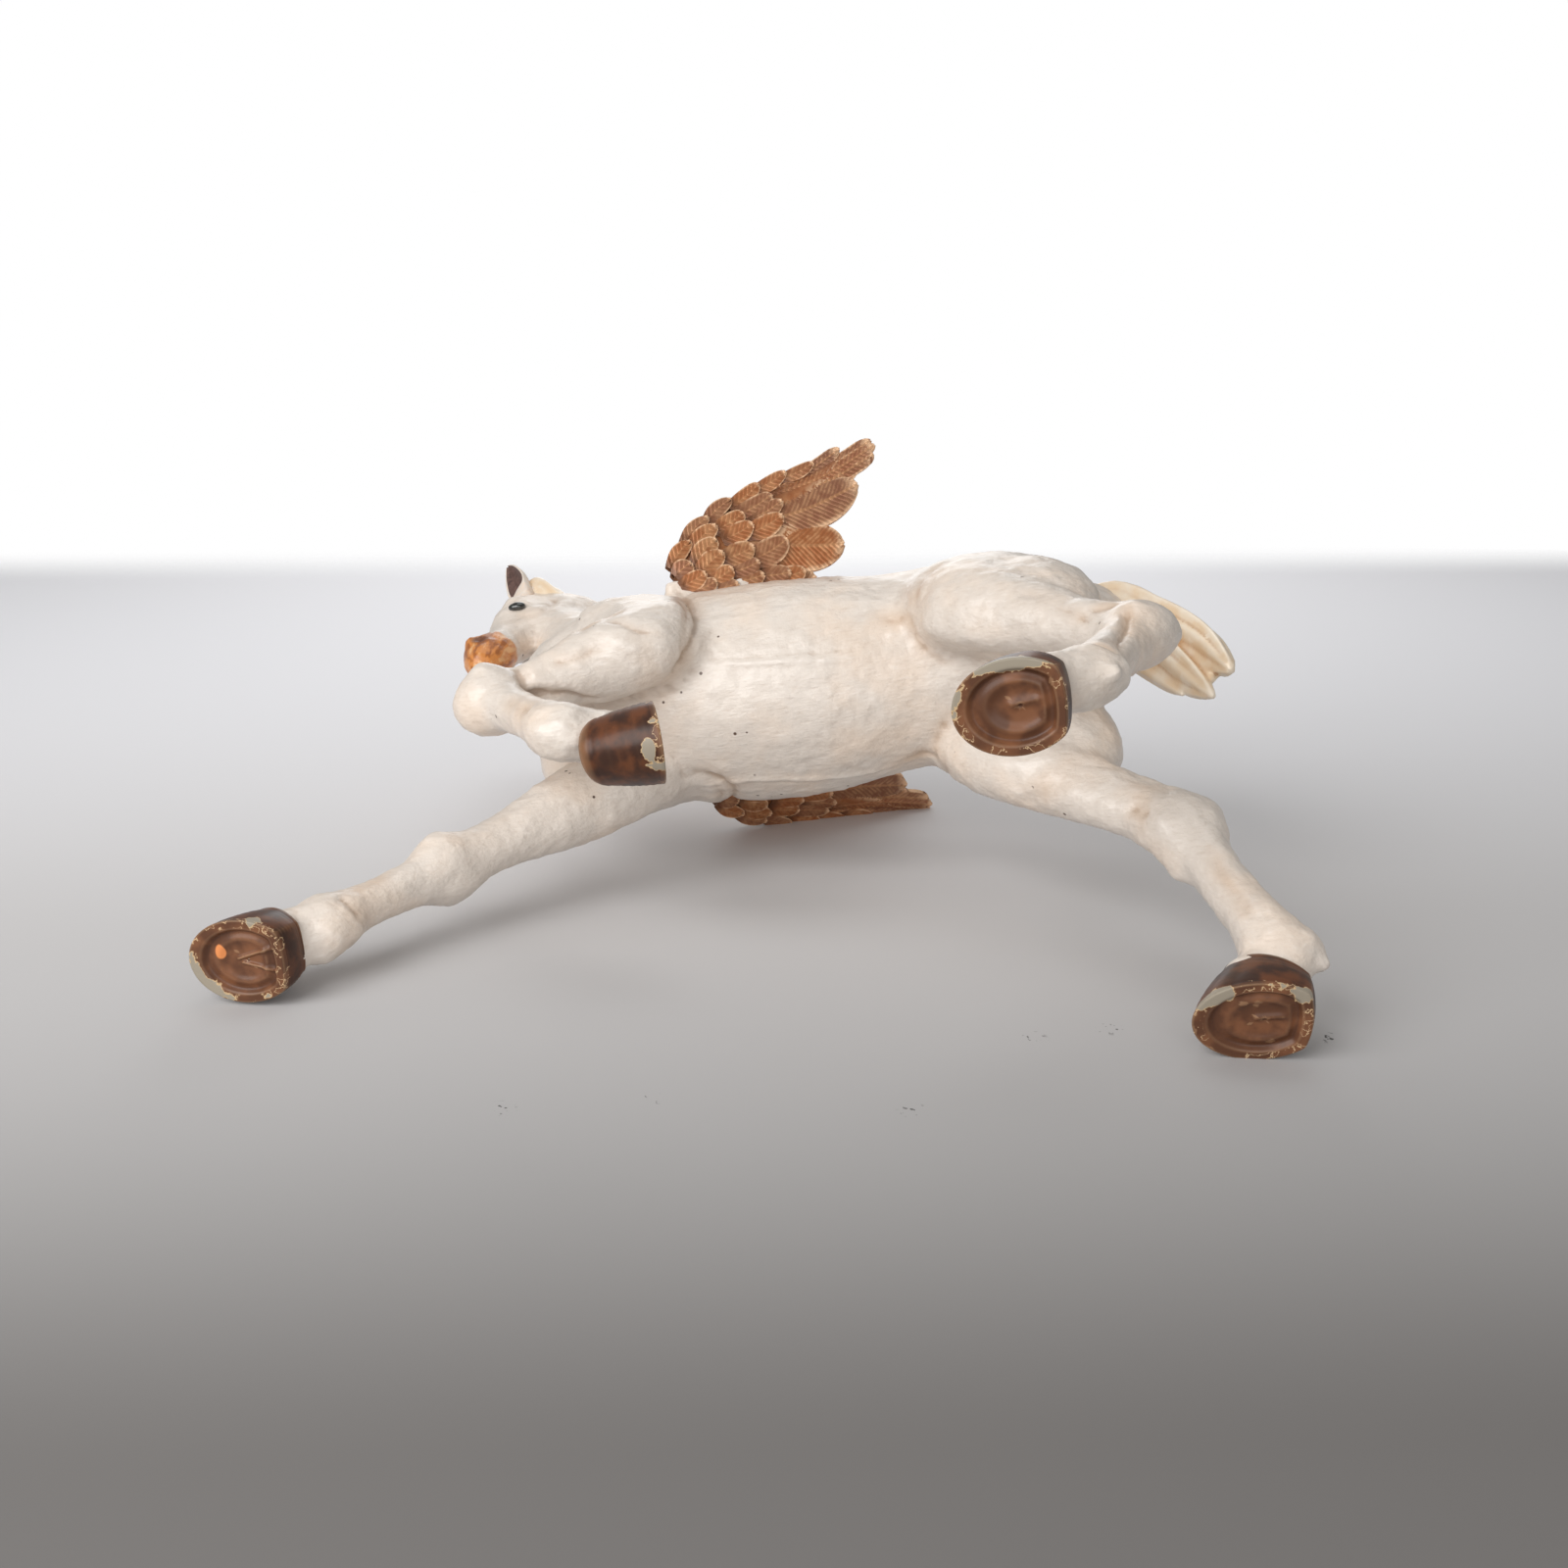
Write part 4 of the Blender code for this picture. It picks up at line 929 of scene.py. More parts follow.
class FOAL_OT_body(bpy.types.Operator):
    """Model the trunk, neck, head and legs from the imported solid, with muscles and folds pressed in"""

    bl_idname = "foal.body"
    bl_label = "Body"

    def execute(self, context):
        look = context.scene.foal_look
        deselect()
        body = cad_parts[NODE].copy()
        body.data = body.data.copy()
        body.name = body.data.name = "body"
        for key in list(body.keys()):
            del body[key]
        body.parent = None
        context.collection.objects.link(body)
        choose(body)
        bpy.ops.object.mode_set(mode="EDIT")
        bpy.ops.mesh.select_all(action="SELECT")
        bpy.ops.mesh.remove_doubles(threshold=1e-6)
        bpy.ops.object.mode_set(mode="OBJECT")
        body.data.transform(Matrix.Translation(-MIDDLE))
        cutters = body_cutters()
        apply_modifier(body, "Trim", "BOOLEAN", operation="DIFFERENCE", solver="EXACT", object=cutters)
        bpy.data.objects.remove(cutters)
        apply_modifier(body, "Rounding", "REMESH", mode="VOXEL", voxel_size=look.grain)
        apply_modifier(body, "Blend", "SMOOTH", factor=0.5, iterations=14)
        for depth, width, centre in SPOTS:
            press_spot(body, depth, width, centre)
        # How near each point is to the pressed lines, for painted shade along them
        point_attribute(body, "crease", press_lines(body, GROOVES, -1))
        press_lines(body, RIDGES, 1)
        points = coordinates(body)
        gaps = [
            np.linalg.norm(points - np.array(place) - CREST_SHIFT, axis=1)
            for place in smoothed([tuple(place) for place in CREST], 6)
        ]
        point_attribute(body, "mane", smooth_step(0.0033, 0.0026, np.min(gaps, axis=0)))
        for name, size, height in (("lumps", 0.0024, look.lumps), ("strokes", 0.0009, look.lumps * 0.4)):
            relief = bpy.data.textures.new(name, "CLOUDS")
            relief.noise_scale = size
            relief.noise_depth = 2
            apply_modifier(
                body, name, "DISPLACE", texture=relief, texture_coords="LOCAL", strength=height,
                mid_level=0.5
            )
        apply_modifier(body, "Settle", "SMOOTH", factor=0.5, iterations=1)
        choose(body)
        bpy.ops.object.shade_smooth()
        finish_piece(body, pearl_paint(look))
        return {"FINISHED"}


# Wings


def wing_axes():
    """The left wing's own directions: root to tip, leading to trailing edge, and out of its underside."""
    span = (WING_TIP - WING_ROOT).normalized()
    out = (WING_ROOT_BACK - WING_ROOT).cross(span).normalized()
    return span, span.cross(out), out


def wing_point(way, along, chord, lift=0.0):
    """A point of one side's wing, from its place in the wing's plane and its lift out of the underside."""
    span, back, out = wing_axes()
    share = min(max(along / (WING_TIP - WING_ROOT).length, 0.0), 1.0)
    place = WING_ROOT + span * along + back * chord + out * (
        lift - WING_CAMBER * math.sin(math.pi * share)
    )
    return Vector((way * place.x, place.y, place.z))


def wing_edges(along):
    """Where the wing's leading and trailing edges are, this far along it."""
    stations = np.array(WING_STATIONS)
    return [float(np.interp(along, stations[:, 0], stations[:, k])) for k in (1, 2)]


def wing_thickness(along):
    return WING_THICKNESS * (1 - 0.62 * max(along, 0.0) / (WING_TIP - WING_ROOT).length)


def feather_template(rows, columns):
    """A flat grid to shape feathers from, with its own map from side to side and root to tip."""
    deselect()
    bpy.ops.mesh.primitive_grid_add(x_subdivisions=columns, y_subdivisions=rows, size=1.0)
    item = bpy.context.object
    item.data.uv_layers[0].name = "shape"
    item.data.uv_layers.new(name="size")
    return item


def feather(template, way, face, row, lifts, blunt, barbs=0.0):
    """A flat feather laid between two points of the wing's plane: crowned, with its quill and barbs."""
    root, tip, width = (np.array(part) * MM for part in row)
    item = template.copy()
    item.data = template.data.copy()
    bpy.context.collection.objects.link(item)
    flat = coordinates(item)
    u, v = flat[:, 0] * 2, flat[:, 1] + 0.5
    run = tip - root
    length = np.linalg.norm(run)
    run /= length
    aside = np.array((-run[1], run[0]))
    body = 0.55 + 0.45 * np.sin(np.minimum(v / 0.5, 1.0) * math.pi / 2)
    round_end = np.sqrt(np.clip(1 - (np.clip(v - blunt, 0, None) / (1 - blunt)) ** 2, 0.0016, 1))
    across = u * width / 2 * body * round_end
    wave = np.sin((v * length - np.abs(across)) * 2 * math.pi / BARB_GAP)
    quill = QUILL_HEIGHT * np.exp(-(across / QUILL_WIDTH) ** 2)
    crown = (1 - u ** 2) * width * 0.045 + quill + barbs * wave * (1 - u ** 8)
    ragged = 0.00010 * np.sin(u * 9 + width * 5e4) * v ** 3 * (np.abs(u) > 0.3)
    lift = lifts[0] + (lifts[1] - lifts[0]) * v ** 0.8 + crown
    curl = 0.05 * length * np.sin(v * math.pi) * (1 if tip[1] > root[1] else -1)
    points = []
    for a, s, h, c in zip(v * length + ragged, across, lift, curl):
        place = root + run * a + aside * (s + c)
        points.append(wing_point(way, place[0], place[1], face * h))
    set_coordinates(item, np.array(points))
    corners = np.empty(len(item.data.loops), dtype=np.int32)
    item.data.loops.foreach_get("vertex_index", corners)
    flat_map = np.stack([across[corners] / MM, v[corners] * length / MM], 1)
    item.data.uv_layers["size"].data.foreach_set("uv", flat_map.ravel())
    point_attribute(
        item, "tint", np.full(len(flat), 0.5 + 0.5 * math.sin(root[0] * 5300 + root[1] * 9100))
    )
    return item


class FOAL_OT_wings(bpy.types.Operator):
    """Model both wings: a thin core, long feathers to the tip, and scale feathers on each face"""

    bl_idname = "foal.wings"
    bl_label = "Wings"

    def execute(self, context):
        look = context.scene.foal_look
        paint = bronze_paint(look)
        long_one = feather_template(60, 26)
        short_one = feather_template(16, 10)
        for way, name in ((-1, "right_wing"), (1, "left_wing")):
            parts = []
            for k, row in enumerate(FLIGHT_FEATHERS):
                for face in (-1, 1):
                    lift = 0.00004 + 0.00006 * (k % 3)
                    blunt = 0.66 if row[2] > 3 else 0.88
                    parts.append(feather(long_one, way, face, row, (lift, lift), blunt, BARB_HEIGHT))
            for face in (-1, 1):
                for k, row in enumerate(COVERTS):
                    lead, trail = wing_edges(row[0][0] * MM)
                    share = (row[0][1] * MM - lead) / (trail - lead)
                    bulge = math.sqrt(max(0.1, 1 - (2 * share - 1) ** 2))
                    bulge *= wing_thickness(row[0][0] * MM) / 2
                    lifts = (bulge * 0.8, bulge + 0.00028 + 0.00001 * k)
                    parts.append(feather(short_one, way, face, row, lifts, 0.5))
            wing = join(name, parts)
            apply_modifier(wing, "Thickness", "SOLIDIFY", thickness=look.feather, offset=0.0)
            core = loft("core", self.core_rings(way))
            mark = core.data.uv_layers.active or core.data.uv_layers.new(name="UVMap")
            mark.name = "shape"
            core.data.uv_layers.new(name="size")
            wing = join(name, [wing, core])
            choose(wing)
            bpy.ops.object.mode_set(mode="EDIT")
            bpy.ops.mesh.select_all(action="SELECT")
            bpy.ops.mesh.normals_make_consistent(inside=False)
            bpy.ops.object.mode_set(mode="OBJECT")
            bpy.ops.object.shade_smooth_by_angle(angle=math.radians(50))
            finish_piece(wing, paint)
        for template in (long_one, short_one):
            bpy.data.objects.remove(template)
        return {"FINISHED"}

    def core_rings(self, way):
        """Rings of the thin core, from the root to just short of the tip."""
        rings = []
        for along in np.linspace(0.0006, 0.0270, 14):
            lead, trail = wing_edges(along)
            lead, trail = lead + 0.0007, trail - 0.0009
            half = wing_thickness(along) / 2 * 0.9
            ring = []
            for k in range(20):
                angle = 2 * math.pi * k / 20
                chord = (lead + trail) / 2 + math.cos(angle) * (trail - lead) / 2
                ring.append(wing_point(way, along, chord, math.sin(angle) * half))
            rings.append(ring)
        return rings


# Hooves


def hoof_outline(length, width, count=88):
    """Points around a hoof as (towards the toe, across): round at the toe, flat at the heel."""
    points = []
    for k in range(count):
        angle = 2 * math.pi * k / count
        ahead = math.cos(angle)
        if ahead < -0.72:
            ahead = -0.72 + (ahead + 0.72) * 0.3
        points.append(((ahead + 0.1) * length / 1.9, math.sin(angle) * width / 2))
    return points


def line_gap(x, y, a, b):
    """Distances of points from a straight line's stretch between a and b."""
    run = np.array(b) - np.array(a)
    share = np.clip(((x - a[0]) * run[0] + (y - a[1]) * run[1]) / (run @ run), 0, 1)
    return np.hypot(x - a[0] - share * run[0], y - a[1] - share * run[1])


def sole_relief(ahead, inward):
    """How deep a sole is below its rim: a step inside the rim, and a broad oval ridge round its middle."""
    step = smooth_step(0.75, 1.25, inward) * SOLE_STEP / MM
    return step - 0.30 * np.exp(-((inward - 2.0) / 0.45) ** 2) * smooth_step(-3.4, -1.8, ahead)


def frog_relief(ahead, aside, forked):
    """How far a frog stands out of its sole: two thin arms parting towards the heel, or one thick bar."""
    if forked:
        arms = np.minimum(
            line_gap(ahead, aside, (0.9, 0.2), (-2.6, 1.3)),
            line_gap(ahead, aside, (0.5, -0.2), (-2.8, -1.0))
        )
        return 0.34 * np.exp(-(arms / 0.16) ** 2)
    return 0.32 * np.exp(-(line_gap(ahead, aside, (0.7, 0.2), (-1.3, 0.35)) / 0.38) ** 2)


def hoof_rings():
    """Rings of one hoof in its own frame: over the coronet, down the wall and in over the sole."""
    rings = []
    heights = list(CORONET_LEVELS)
    heights += [(level, 0.28 * level + 0.78 * level ** 2) for level in np.linspace(0.80, 0.08, 13)]
    heights += [(0.03, 0.0), (0.008, 0.02), (0.0, 0.06)]
    for k, (level, narrow) in enumerate(heights):
        length = HOOF_LENGTH + (CORONET_LENGTH - HOOF_LENGTH) * narrow
        width = HOOF_WIDTH + (CORONET_WIDTH - HOOF_WIDTH) * narrow
        swell = 1 + (0.006 if k % 2 else -0.006) * (0.1 < level < 0.8)
        back = (HOOF_LENGTH - CORONET_LENGTH) * 0.5 * min(level, 1.0)
        ring = []
        for ahead, aside in hoof_outline(length * swell, width * swell):
            rise = HEEL_HEIGHT + (HOOF_HEIGHT - HEEL_HEIGHT) * (0.5 + ahead / length)
            ring.append(Vector((ahead - back, aside, rise * level)))
        rings.append(ring)
    edge = hoof_outline(HOOF_LENGTH * 0.985, HOOF_WIDTH * 0.985)
    for share in np.linspace(0.97, 0.03, 34):
        ring = []
        for ahead, aside in edge:
            inward = (1 - share) * HOOF_WIDTH / 2 / MM
            depth = float(sole_relief(ahead * share / MM, inward))
            ring.append(Vector((ahead * share, aside * share, depth * MM)))
        rings.append(ring)
    return rings, len(heights)


class FOAL_OT_hooves(bpy.types.Operator):
    """Model one hoof with its wall, rim, sole and frog, and set a copy of it under each leg"""

    bl_idname = "foal.hooves"
    bl_label = "Hooves"

    def execute(self, context):
        look = context.scene.foal_look
        paint = hoof_paint(look)
        rings, walls = hoof_rings()
        pattern = loft("hoof", rings)
        points = coordinates(pattern)
        flat = np.array([point[:] for point in rings[walls - 1]])
        gaps = np.min(np.linalg.norm(points[:, None, :2] - flat[None, :, :2], axis=2), axis=1)
        on_sole = (points[:, 2] < 0.0006) & (gaps > 1e-5)
        edge = np.where(on_sole, gaps, -points[:, 2]) / MM
        turned = np.degrees(np.arctan2(points[:, 1], points[:, 0]))
        for name, (sole, toe, up, scale) in HOOVES.items():
            hoof = pattern.copy()
            hoof.data = pattern.data.copy()
            hoof.name = hoof.data.name = name
            context.collection.objects.link(hoof)
            toe, across = hoof_axes(toe, up)
            shaped = points.copy()
            frog = frog_relief(points[:, 0] / MM, points[:, 1] / MM, name == "right_fore_hoof")
            shaped[:, 2] -= on_sole * frog * MM
            set_coordinates(hoof, shaped)
            point_attribute(hoof, "edge", edge)
            wear = np.full(len(points), -2.0)
            for towards, spread, reach, place in WEAR[name]:
                off = np.abs((turned - towards + 180) % 360 - 180)
                wear = np.maximum(wear, reach * np.exp(-(off / spread) ** 2) - np.abs(edge - place) - 0.5)
            point_attribute(hoof, "wear", wear)
            spot = np.zeros(len(points))
            if name == "right_fore_hoof":
                away = np.hypot((points[:, 0] - 0.0026) / 0.7, points[:, 1] - 0.0009)
                spot = on_sole * np.clip(1.2 - away / 0.0011, 0, 1)
            point_attribute(hoof, "spot", spot)
            turn = Matrix((toe, across, up)).transposed().to_4x4()
            hoof.data.transform(Matrix.Translation(sole) @ turn @ Matrix.Diagonal((*scale, 1.0)))
            finish_piece(hoof, paint)
        bpy.data.objects.remove(pattern)
        return {"FINISHED"}


# Mane and tail


def lock(name, stations, side, strands=6, twist=0.0):
    """A lock of moulded hair through stations of (place, width, thickness), with strands along it."""
    rows = smoothed([(*place, width / 2, thick / 2) for place, width, thick in stations], 5)
    rings = []
    sides = strands * 8
    for i, row in enumerate(rows):
        run = Vector(rows[min(i + 1, len(rows) - 1)][:3]) - Vector(rows[max(i - 1, 0)][:3])
        run.normalize()
        across = (side - run * side.dot(run)).normalized()
        back = run.cross(across)
        ring = []
        for k in range(sides):
            angle = 2 * math.pi * k / sides
            swell = 1 + 0.34 * (abs(math.cos(strands * angle / 2 + twist * i / len(rows))) - 0.6)
            sideways = across * (row[3] * swell * math.cos(angle))
            ring.append(Vector(row[:3]) + sideways + back * (row[4] * swell * math.sin(angle)))
        rings.append(ring)
    first = Vector(rows[0][:3])
    last = Vector(rows[-1][:3])
    rings.insert(0, [first.lerp(point, 0.3) for point in rings[0]])
    rings.append([last.lerp(point, 0.3) for point in rings[-1]])
    return loft(name, rings)


def finish_hair(name, locks, look):
    """Melts locks into one moulded mass, as the casting has them, and paints it."""
    hair = join(name, locks)
    apply_modifier(hair, "Melt", "REMESH", mode="VOXEL", voxel_size=HAIR_GRAIN)
    apply_modifier(hair, "Soften", "SMOOTH", factor=0.5, iterations=3)
    choose(hair)
    bpy.ops.object.shade_smooth()
    finish_piece(hair, hair_paint(look))


def sized(stations):
    """Stations given in millimetres, in metres."""
    return [(Vector(place) * MM, width * MM, thick * MM) for place, width, thick in stations]


class FOAL_OT_tail(bpy.types.Operator):
    """Model the tail in locks that part towards their tips"""

    bl_idname = "foal.tail"
    bl_label = "Tail"

    def execute(self, context):
        look = context.scene.foal_look
        locks = []
        for k, stations in enumerate(TAIL_LOCKS):
            locks.append(lock("lock", sized(stations), LEFT, 6 if k < 2 else 4, 0.4 * (-1) ** k))
        finish_hair("tail", locks, look)
        return {"FINISHED"}


class FOAL_OT_mane(bpy.types.Operator):
    """Model the short mane in locks swept back over the crest, and the forelock between the ears"""

    bl_idname = "foal.mane"
    bl_label = "Mane"

    def execute(self, context):
        look = context.scene.foal_look
        path = [Vector(row) for row in smoothed([tuple(point) for point in CREST], 4)]
        crest = [(point, MANE_LOCK_WIDTH * 0.9, MANE_LOCK_THICKNESS * 1.5) for point in CREST]
        locks = [lock("crest", crest, LEFT, 6)]
        for k in range(len(path) - 1):
            run = (path[k + 1] - path[k]).normalized()
            for way in (-1.0, -0.2):
                sweep = (run * 0.75 + Vector((way * 0.5, 0.32, 0.10 - 0.1 * (k % 2)))).normalized()
                drop = (run * 0.8 + Vector((way * 0.5, 0.1, -0.55))).normalized()
                reach = MANE_LOCK_LENGTH * (0.85 + 0.2 * math.sin(2.3 * k + way))
                start = path[k] + LEFT * way * 0.0006
                bend = start + sweep * reach * 0.45 + drop * reach * 0.25
                end = start + sweep * reach * 0.5 + drop * reach * 0.55
                locks.append(lock("lock", [
                    (start - sweep * reach * 0.15, MANE_LOCK_WIDTH * 0.7, MANE_LOCK_THICKNESS * 0.9),
                    (start + sweep * reach * 0.25, MANE_LOCK_WIDTH, MANE_LOCK_THICKNESS),
                    (bend, MANE_LOCK_WIDTH * 0.7, MANE_LOCK_THICKNESS * 0.7),
                    (end, MANE_LOCK_WIDTH * 0.16, MANE_LOCK_THICKNESS * 0.2),
                ], LEFT, 4, 0.6 * way))
        for stations in TUFT:
            locks.append(lock("tuft", sized(stations), LEFT, 4, 0.3))
        for aside, length in ((0.0, 0.0066), (0.0011, 0.0054), (-0.0011, 0.0058)):
            start = POLL + Vector((aside, -0.0004, 0.0020))
            locks.append(lock("forelock", [
                (start + UP * 0.0006, 0.0022, 0.0022),
                (start + Vector((aside * 0.3, -0.0030, 0.0002)), 0.0024, 0.0020),
                (start + Vector((aside * 0.4, -0.0048, -length * 0.45)), 0.0018, 0.0014),
                (start + Vector((aside * 0.2, -0.0050, -length)), 0.0005, 0.0005),
            ], LEFT, 4))
        finish_hair("mane", locks, look)
        return {"FINISHED"}


# Ears and eyes


def ear_place(way, base, aim):
    """Where one side's ear starts, from the poll, and where it points."""
    return POLL + Vector((way * base.x, base.y, base.z)), Vector((way * aim.x, aim.y, aim.z)).normalized()


class FOAL_OT_face(bpy.types.Operator):
    """Model the ears as open cups and the eyes as glossy almonds under their lids"""

    bl_idname = "foal.face"
    bl_label = "Ears and eyes"

    def execute(self, context):
        look = context.scene.foal_look
        paint, gloss = ear_paint(look), eye_paint()
        for way, name in ((-1, "right"), (1, "left")):
            ear, aim = ear_place(way, EAR_BASE, EAR_AIM)
            front = Vector((way * EAR_OPENING.x, EAR_OPENING.y, EAR_OPENING.z))
            front = (front - aim * front.dot(aim)).normalized()
            across = front.cross(aim)
            stations = smoothed(EAR_STATIONS, 5)
            rings = []
            for along, wide, deep in stations:
                hollow = smooth_step(0.02, 0.3, along)
                ring = []
                for k in range(40):
                    angle = 2 * math.pi * k / 40
                    cup = math.sin(angle)
                    if cup > 0:
                        cup *= 0.3 - 0.75 * hollow * (1 - abs(math.cos(angle)) ** 4)
                    sideways = across * (math.cos(angle) * wide * EAR_WIDTH / 2)
                    place = ear + aim * EAR_LENGTH * along + sideways
                    ring.append(place + front * (cup * deep * EAR_DEPTH * 0.62))
                rings.append(ring)
            item = loft(name + "_ear", rings)
            offset = coordinates(item) - np.array(ear)
            reach = offset @ np.array(aim) / EAR_LENGTH
            middle = np.abs(offset @ np.array(across)) / (EAR_WIDTH / 2)
            widths = np.interp(reach, [row[0] for row in stations], [row[1] for row in stations])
            proud = offset @ np.array(front) / EAR_DEPTH
            depths = np.interp(reach, [row[0] for row in stations], [row[2] for row in stations])
            inner = (middle < widths * 0.86) & (reach > 0.2) & (proud > -0.34 * depths)
            point_attribute(item, "inner", inner.astype(float))
            finish_piece(item, paint)
            deselect()
            bpy.ops.mesh.primitive_uv_sphere_add(segments=40, ring_count=24, radius=1.0)
            eye = bpy.context.object
            eye.name = eye.data.name = name + "_eye"
            points = coordinates(eye)
            slim = 1 - 0.55 * smooth_step(0.2, 1.0, -points[:, 1])
            shaped = points * np.array((EYE_BULGE, EYE_LENGTH / 2, EYE_HEIGHT / 2))
            shaped[:, 2] = shaped[:, 2] * slim - 0.0005 * smooth_step(0.0, 1.0, -points[:, 1])
            place = (HEAD_MIDDLE + way * (EYE.x - HEAD_MIDDLE), EYE.y, EYE.z)
            set_coordinates(eye, shaped + np.array(place))
            bpy.ops.object.shade_smooth()
            finish_piece(eye, gloss)
        return {"FINISHED"}


# Stage


def stage_plane(name, corners, colour, ending=None):
    """A plain sheet seen from its upper side only, which may fade out, for the camera to look through."""
    deselect()
    bpy.ops.mesh.primitive_plane_add(size=1.0)
    item = bpy.context.object
    item.name = item.data.name = name
    order = (0, 1, 3, 2)
    for k, corner in zip(order, corners):
        item.data.vertices[k].co = corner
    material, tree, shader = new_material(name + "_card", 0.75)
    if callable(colour):
        tree.links.new(colour(tree), shader.inputs["Base Color"])
    else:
        shader.inputs["Base Color"].default_value = (*colour, 1.0)
    facing = add_node(tree, "NewGeometry", output="Backfacing")
    if ending:
        facing = add_node(tree, "Math", (facing, ending(tree)), operation="MAXIMUM")
    clear = add_node(tree, "BsdfTransparent")
    mixed = add_node(tree, "MixShader", (facing, shader.outputs[0], clear))
    tree.links.new(mixed, tree.nodes["Material Output"].inputs["Surface"])
    item.data.materials.append(material)
    return item


def pixel_ray(x, y):
    """The direction in which the camera sees a pixel of the photograph."""
    right = CAMERA_AHEAD.cross(CAMERA_UP)
    return CAMERA_AHEAD + right * ((x - PIXELS / 2) / PIXELS) - CAMERA_UP * ((y - PIXELS / 2) / PIXELS)


def on_table(x, y):
    """The point of the table that a pixel of the photograph shows."""
    ray = pixel_ray(x, y)
    return CAMERA_PLACE + ray * ((TABLE_POINT - CAMERA_PLACE).dot(TABLE_UP) / ray.dot(TABLE_UP))


def add_lamp(name, place, aim, size, power, spread=math.pi):
    lamp = bpy.data.lights.new(name, "AREA")
    lamp.shape = "DISK"
    lamp.size = size
    lamp.energy = power
    lamp.spread = spread
    item = bpy.data.objects.new(name, lamp)
    item.location = place
    item.rotation_mode = "QUATERNION"
    item.rotation_quaternion = (aim - place).to_track_quat("-Z", "Y")
    bpy.context.collection.objects.link(item)


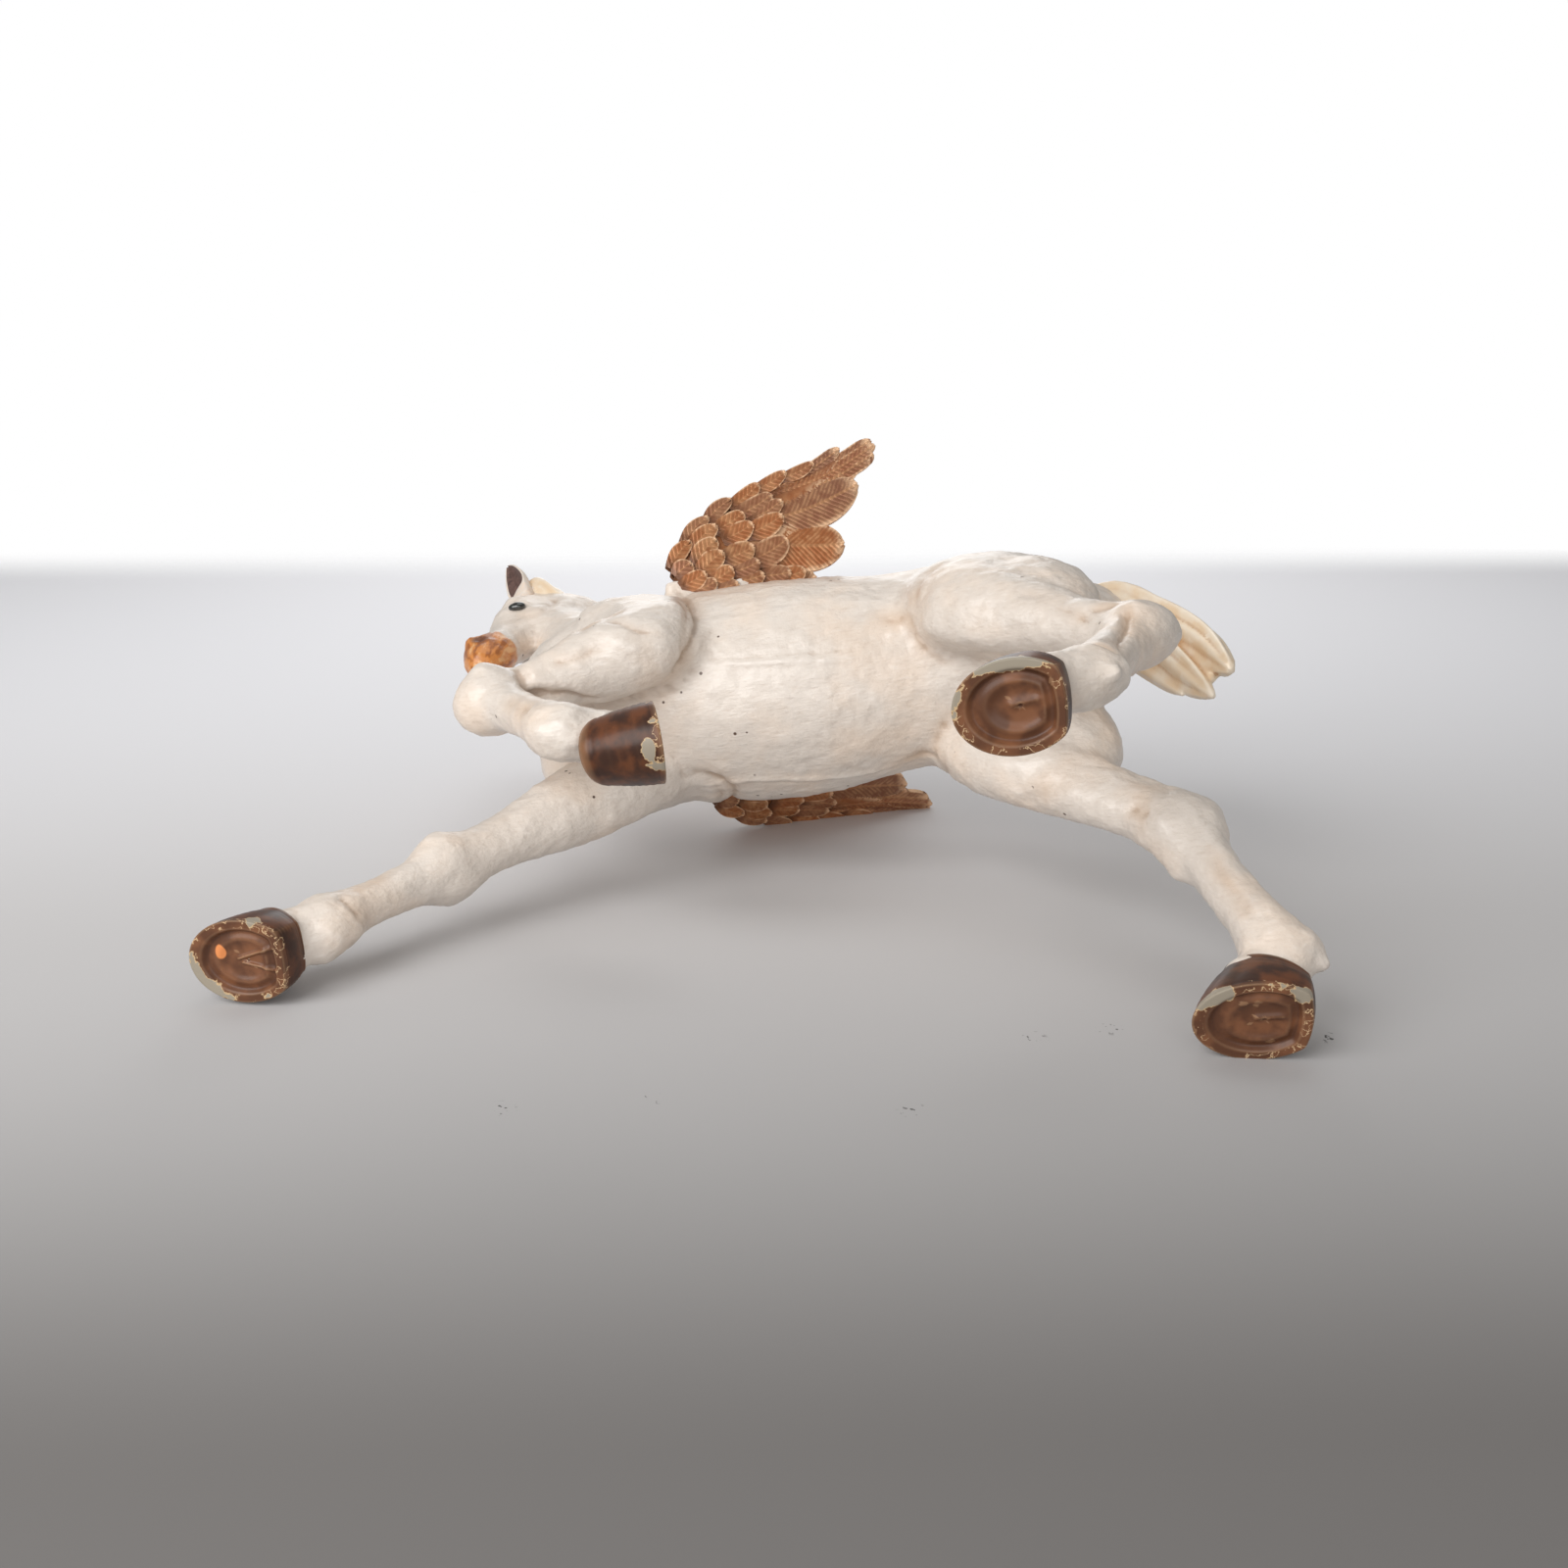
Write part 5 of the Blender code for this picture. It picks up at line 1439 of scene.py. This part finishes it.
class FOAL_OT_stage(bpy.types.Operator):
    """Set the figurine on its table before a white backdrop, with soft light and the photograph's camera"""

    bl_idname = "foal.stage"
    bl_label = "Stage"

    def execute(self, context):
        scene = context.scene
        far_left, far_right = (on_table(*pixel) for pixel in FAR_EDGE)
        ahead = (far_left + far_right) / 2 - on_table(PIXELS / 2, PIXELS * 0.9)
        near_left = far_left - ahead * TABLE_REACH
        near_right = far_right - ahead * TABLE_REACH
        flat_ahead = ahead.normalized()
        viewpoint_height = (CAMERA_PLACE - TABLE_POINT).dot(TABLE_UP)

        def nearness(tree, place):
            """The viewpoint's height over the table, divided by how far in front of it a place is."""
            gap = add_node(tree, "VectorMath", (place, CAMERA_PLACE), operation="SUBTRACT")
            away = add_node(tree, "VectorMath", (gap, flat_ahead), "Value", operation="DOT_PRODUCT")
            away = add_node(tree, "Math", (away, 0.02), operation="MAXIMUM")
            return add_node(tree, "Math", (viewpoint_height, away), operation="DIVIDE")

        def table_end(tree):
            """The table's far edge fades into the white behind it."""
            place = add_node(tree, "TexCoord", output="Object")
            return add_node(
                tree, "MapRange", (nearness(tree, place), *FADE), interpolation_type="SMOOTHSTEP"
            )

        def table_shade_and_scuffs(tree):
            """Pale at the far edge and darker towards the viewer as painted shade, with a few dark scuffs.
            """
            place = add_node(tree, "TexCoord", output="Object")
            slope = nearness(tree, place)
            colour = layer(tree, linear("#f8f8fc"), linear("#cbc9c9"), slope, 0.15, 0.40)
            colour = layer(tree, colour, linear("#73706e"), slope, 0.30, 0.82)
            grains = add_node(
                tree, "MapRange", (blotches(tree, place, 0.0005, 1.0), 0.64, 0.67),
                interpolation_type="SMOOTHSTEP"
            )
            for scuff in SCUFFS:
                marks = add_node(
                    tree, "Math", (grains, near(tree, place, on_table(*scuff), 0.0004, 0.0016)),
                    operation="MULTIPLY"
                )
                colour = layer(tree, colour, linear("#4c4a48"), marks)
            return colour

        corners = (near_left, near_right, far_right, far_left)
        if (near_right - near_left).cross(far_left - near_left).dot(TABLE_UP) < 0:
            corners = corners[::-1]
        stage_plane("table", corners, table_shade_and_scuffs, table_end)
        reach = GROUND_REACH
        ground = stage_plane(
            "ground",
            [Vector((x * reach, y * reach, -0.0001)) for x, y in ((-1, -1), (1, -1), (1, 1), (-1, 1))],
            linear("#dcdad8")
        )
        for sight in ("visible_diffuse", "visible_glossy", "visible_transmission", "visible_shadow"):
            setattr(ground, sight, False)
        centre = Vector((0.0, 0.0, 0.045))
        right = CAMERA_AHEAD.cross(CAMERA_UP)
        add_lamp(
            "window", CAMERA_PLACE - right * 0.20 + TABLE_UP * 0.14 - flat_ahead * 0.06, centre, 0.3, 1.02
        )
        add_lamp(
            "fill", CAMERA_PLACE + right * 0.04 + TABLE_UP * 0.03 - flat_ahead * 0.22, centre, 0.3, 0.46
        )
        add_lamp("back", centre + TABLE_UP * 0.16 + flat_ahead * 0.50, centre, 0.3, 0.40)
        beyond = on_table(PIXELS / 2, 600)
        add_lamp("beyond", beyond + TABLE_UP * 0.45, beyond, 0.4, 0.15, math.radians(75))
        world = bpy.data.worlds.new("white_room")
        world.use_nodes = True
        tree = world.node_tree
        seen = add_node(tree, "LightPath", output="Is Camera Ray")
        through = add_node(tree, "LightPath", output="Is Transmission Ray")
        seen = add_node(tree, "Math", (seen, through), operation="MAXIMUM")
        light = add_node(tree, "Background", (linear("#fbfaf8"), 0.34))
        white = add_node(tree, "Background", ((1.0, 1.0, 1.0), 1.0))
        mixed = add_node(tree, "MixShader", (seen, light, white))
        tree.links.new(mixed, tree.nodes["World Output"].inputs["Surface"])
        scene.world = world
        camera = bpy.data.cameras.new("photo_camera")
        camera.sensor_width = SENSOR
        camera.lens = SENSOR
        camera.clip_start = 0.005
        camera.clip_end = 10.0
        item = bpy.data.objects.new("photo_camera", camera)
        turn = Matrix((right, CAMERA_UP, -CAMERA_AHEAD)).transposed().to_4x4()
        item.matrix_world = Matrix.Translation(CAMERA_PLACE) @ turn
        context.collection.objects.link(item)
        scene.camera = item
        scene.view_settings.view_transform = "Standard"
        return {"FINISHED"}


class FOAL_PT_panel(bpy.types.Panel):
    bl_label = "Winged foal"
    bl_idname = "FOAL_PT_panel"
    bl_space_type = "VIEW_3D"
    bl_region_type = "UI"
    bl_category = "Foal"

    def draw(self, context):
        look = context.scene.foal_look
        for name in FoalLook.__annotations__:
            self.layout.prop(look, name)
        for operator in OPERATORS:
            self.layout.operator(operator.bl_idname)


OPERATORS = (
    FOAL_OT_body, FOAL_OT_wings, FOAL_OT_hooves, FOAL_OT_tail, FOAL_OT_mane, FOAL_OT_face, FOAL_OT_stage
)
CLASSES = (FoalLook, *OPERATORS, FOAL_PT_panel)


def register():
    for item in CLASSES:
        bpy.utils.register_class(item)
    bpy.types.Scene.foal_look = bpy.props.PointerProperty(type=FoalLook)


def unregister():
    del bpy.types.Scene.foal_look
    for item in reversed(CLASSES):
        bpy.utils.unregister_class(item)


def main():
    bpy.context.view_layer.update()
    register()
    bpy.ops.foal.body()
    bpy.ops.foal.wings()
    bpy.ops.foal.hooves()
    bpy.ops.foal.tail()
    bpy.ops.foal.mane()
    bpy.ops.foal.face()
    bpy.ops.foal.stage()


if __name__ == "__main__":
    main()
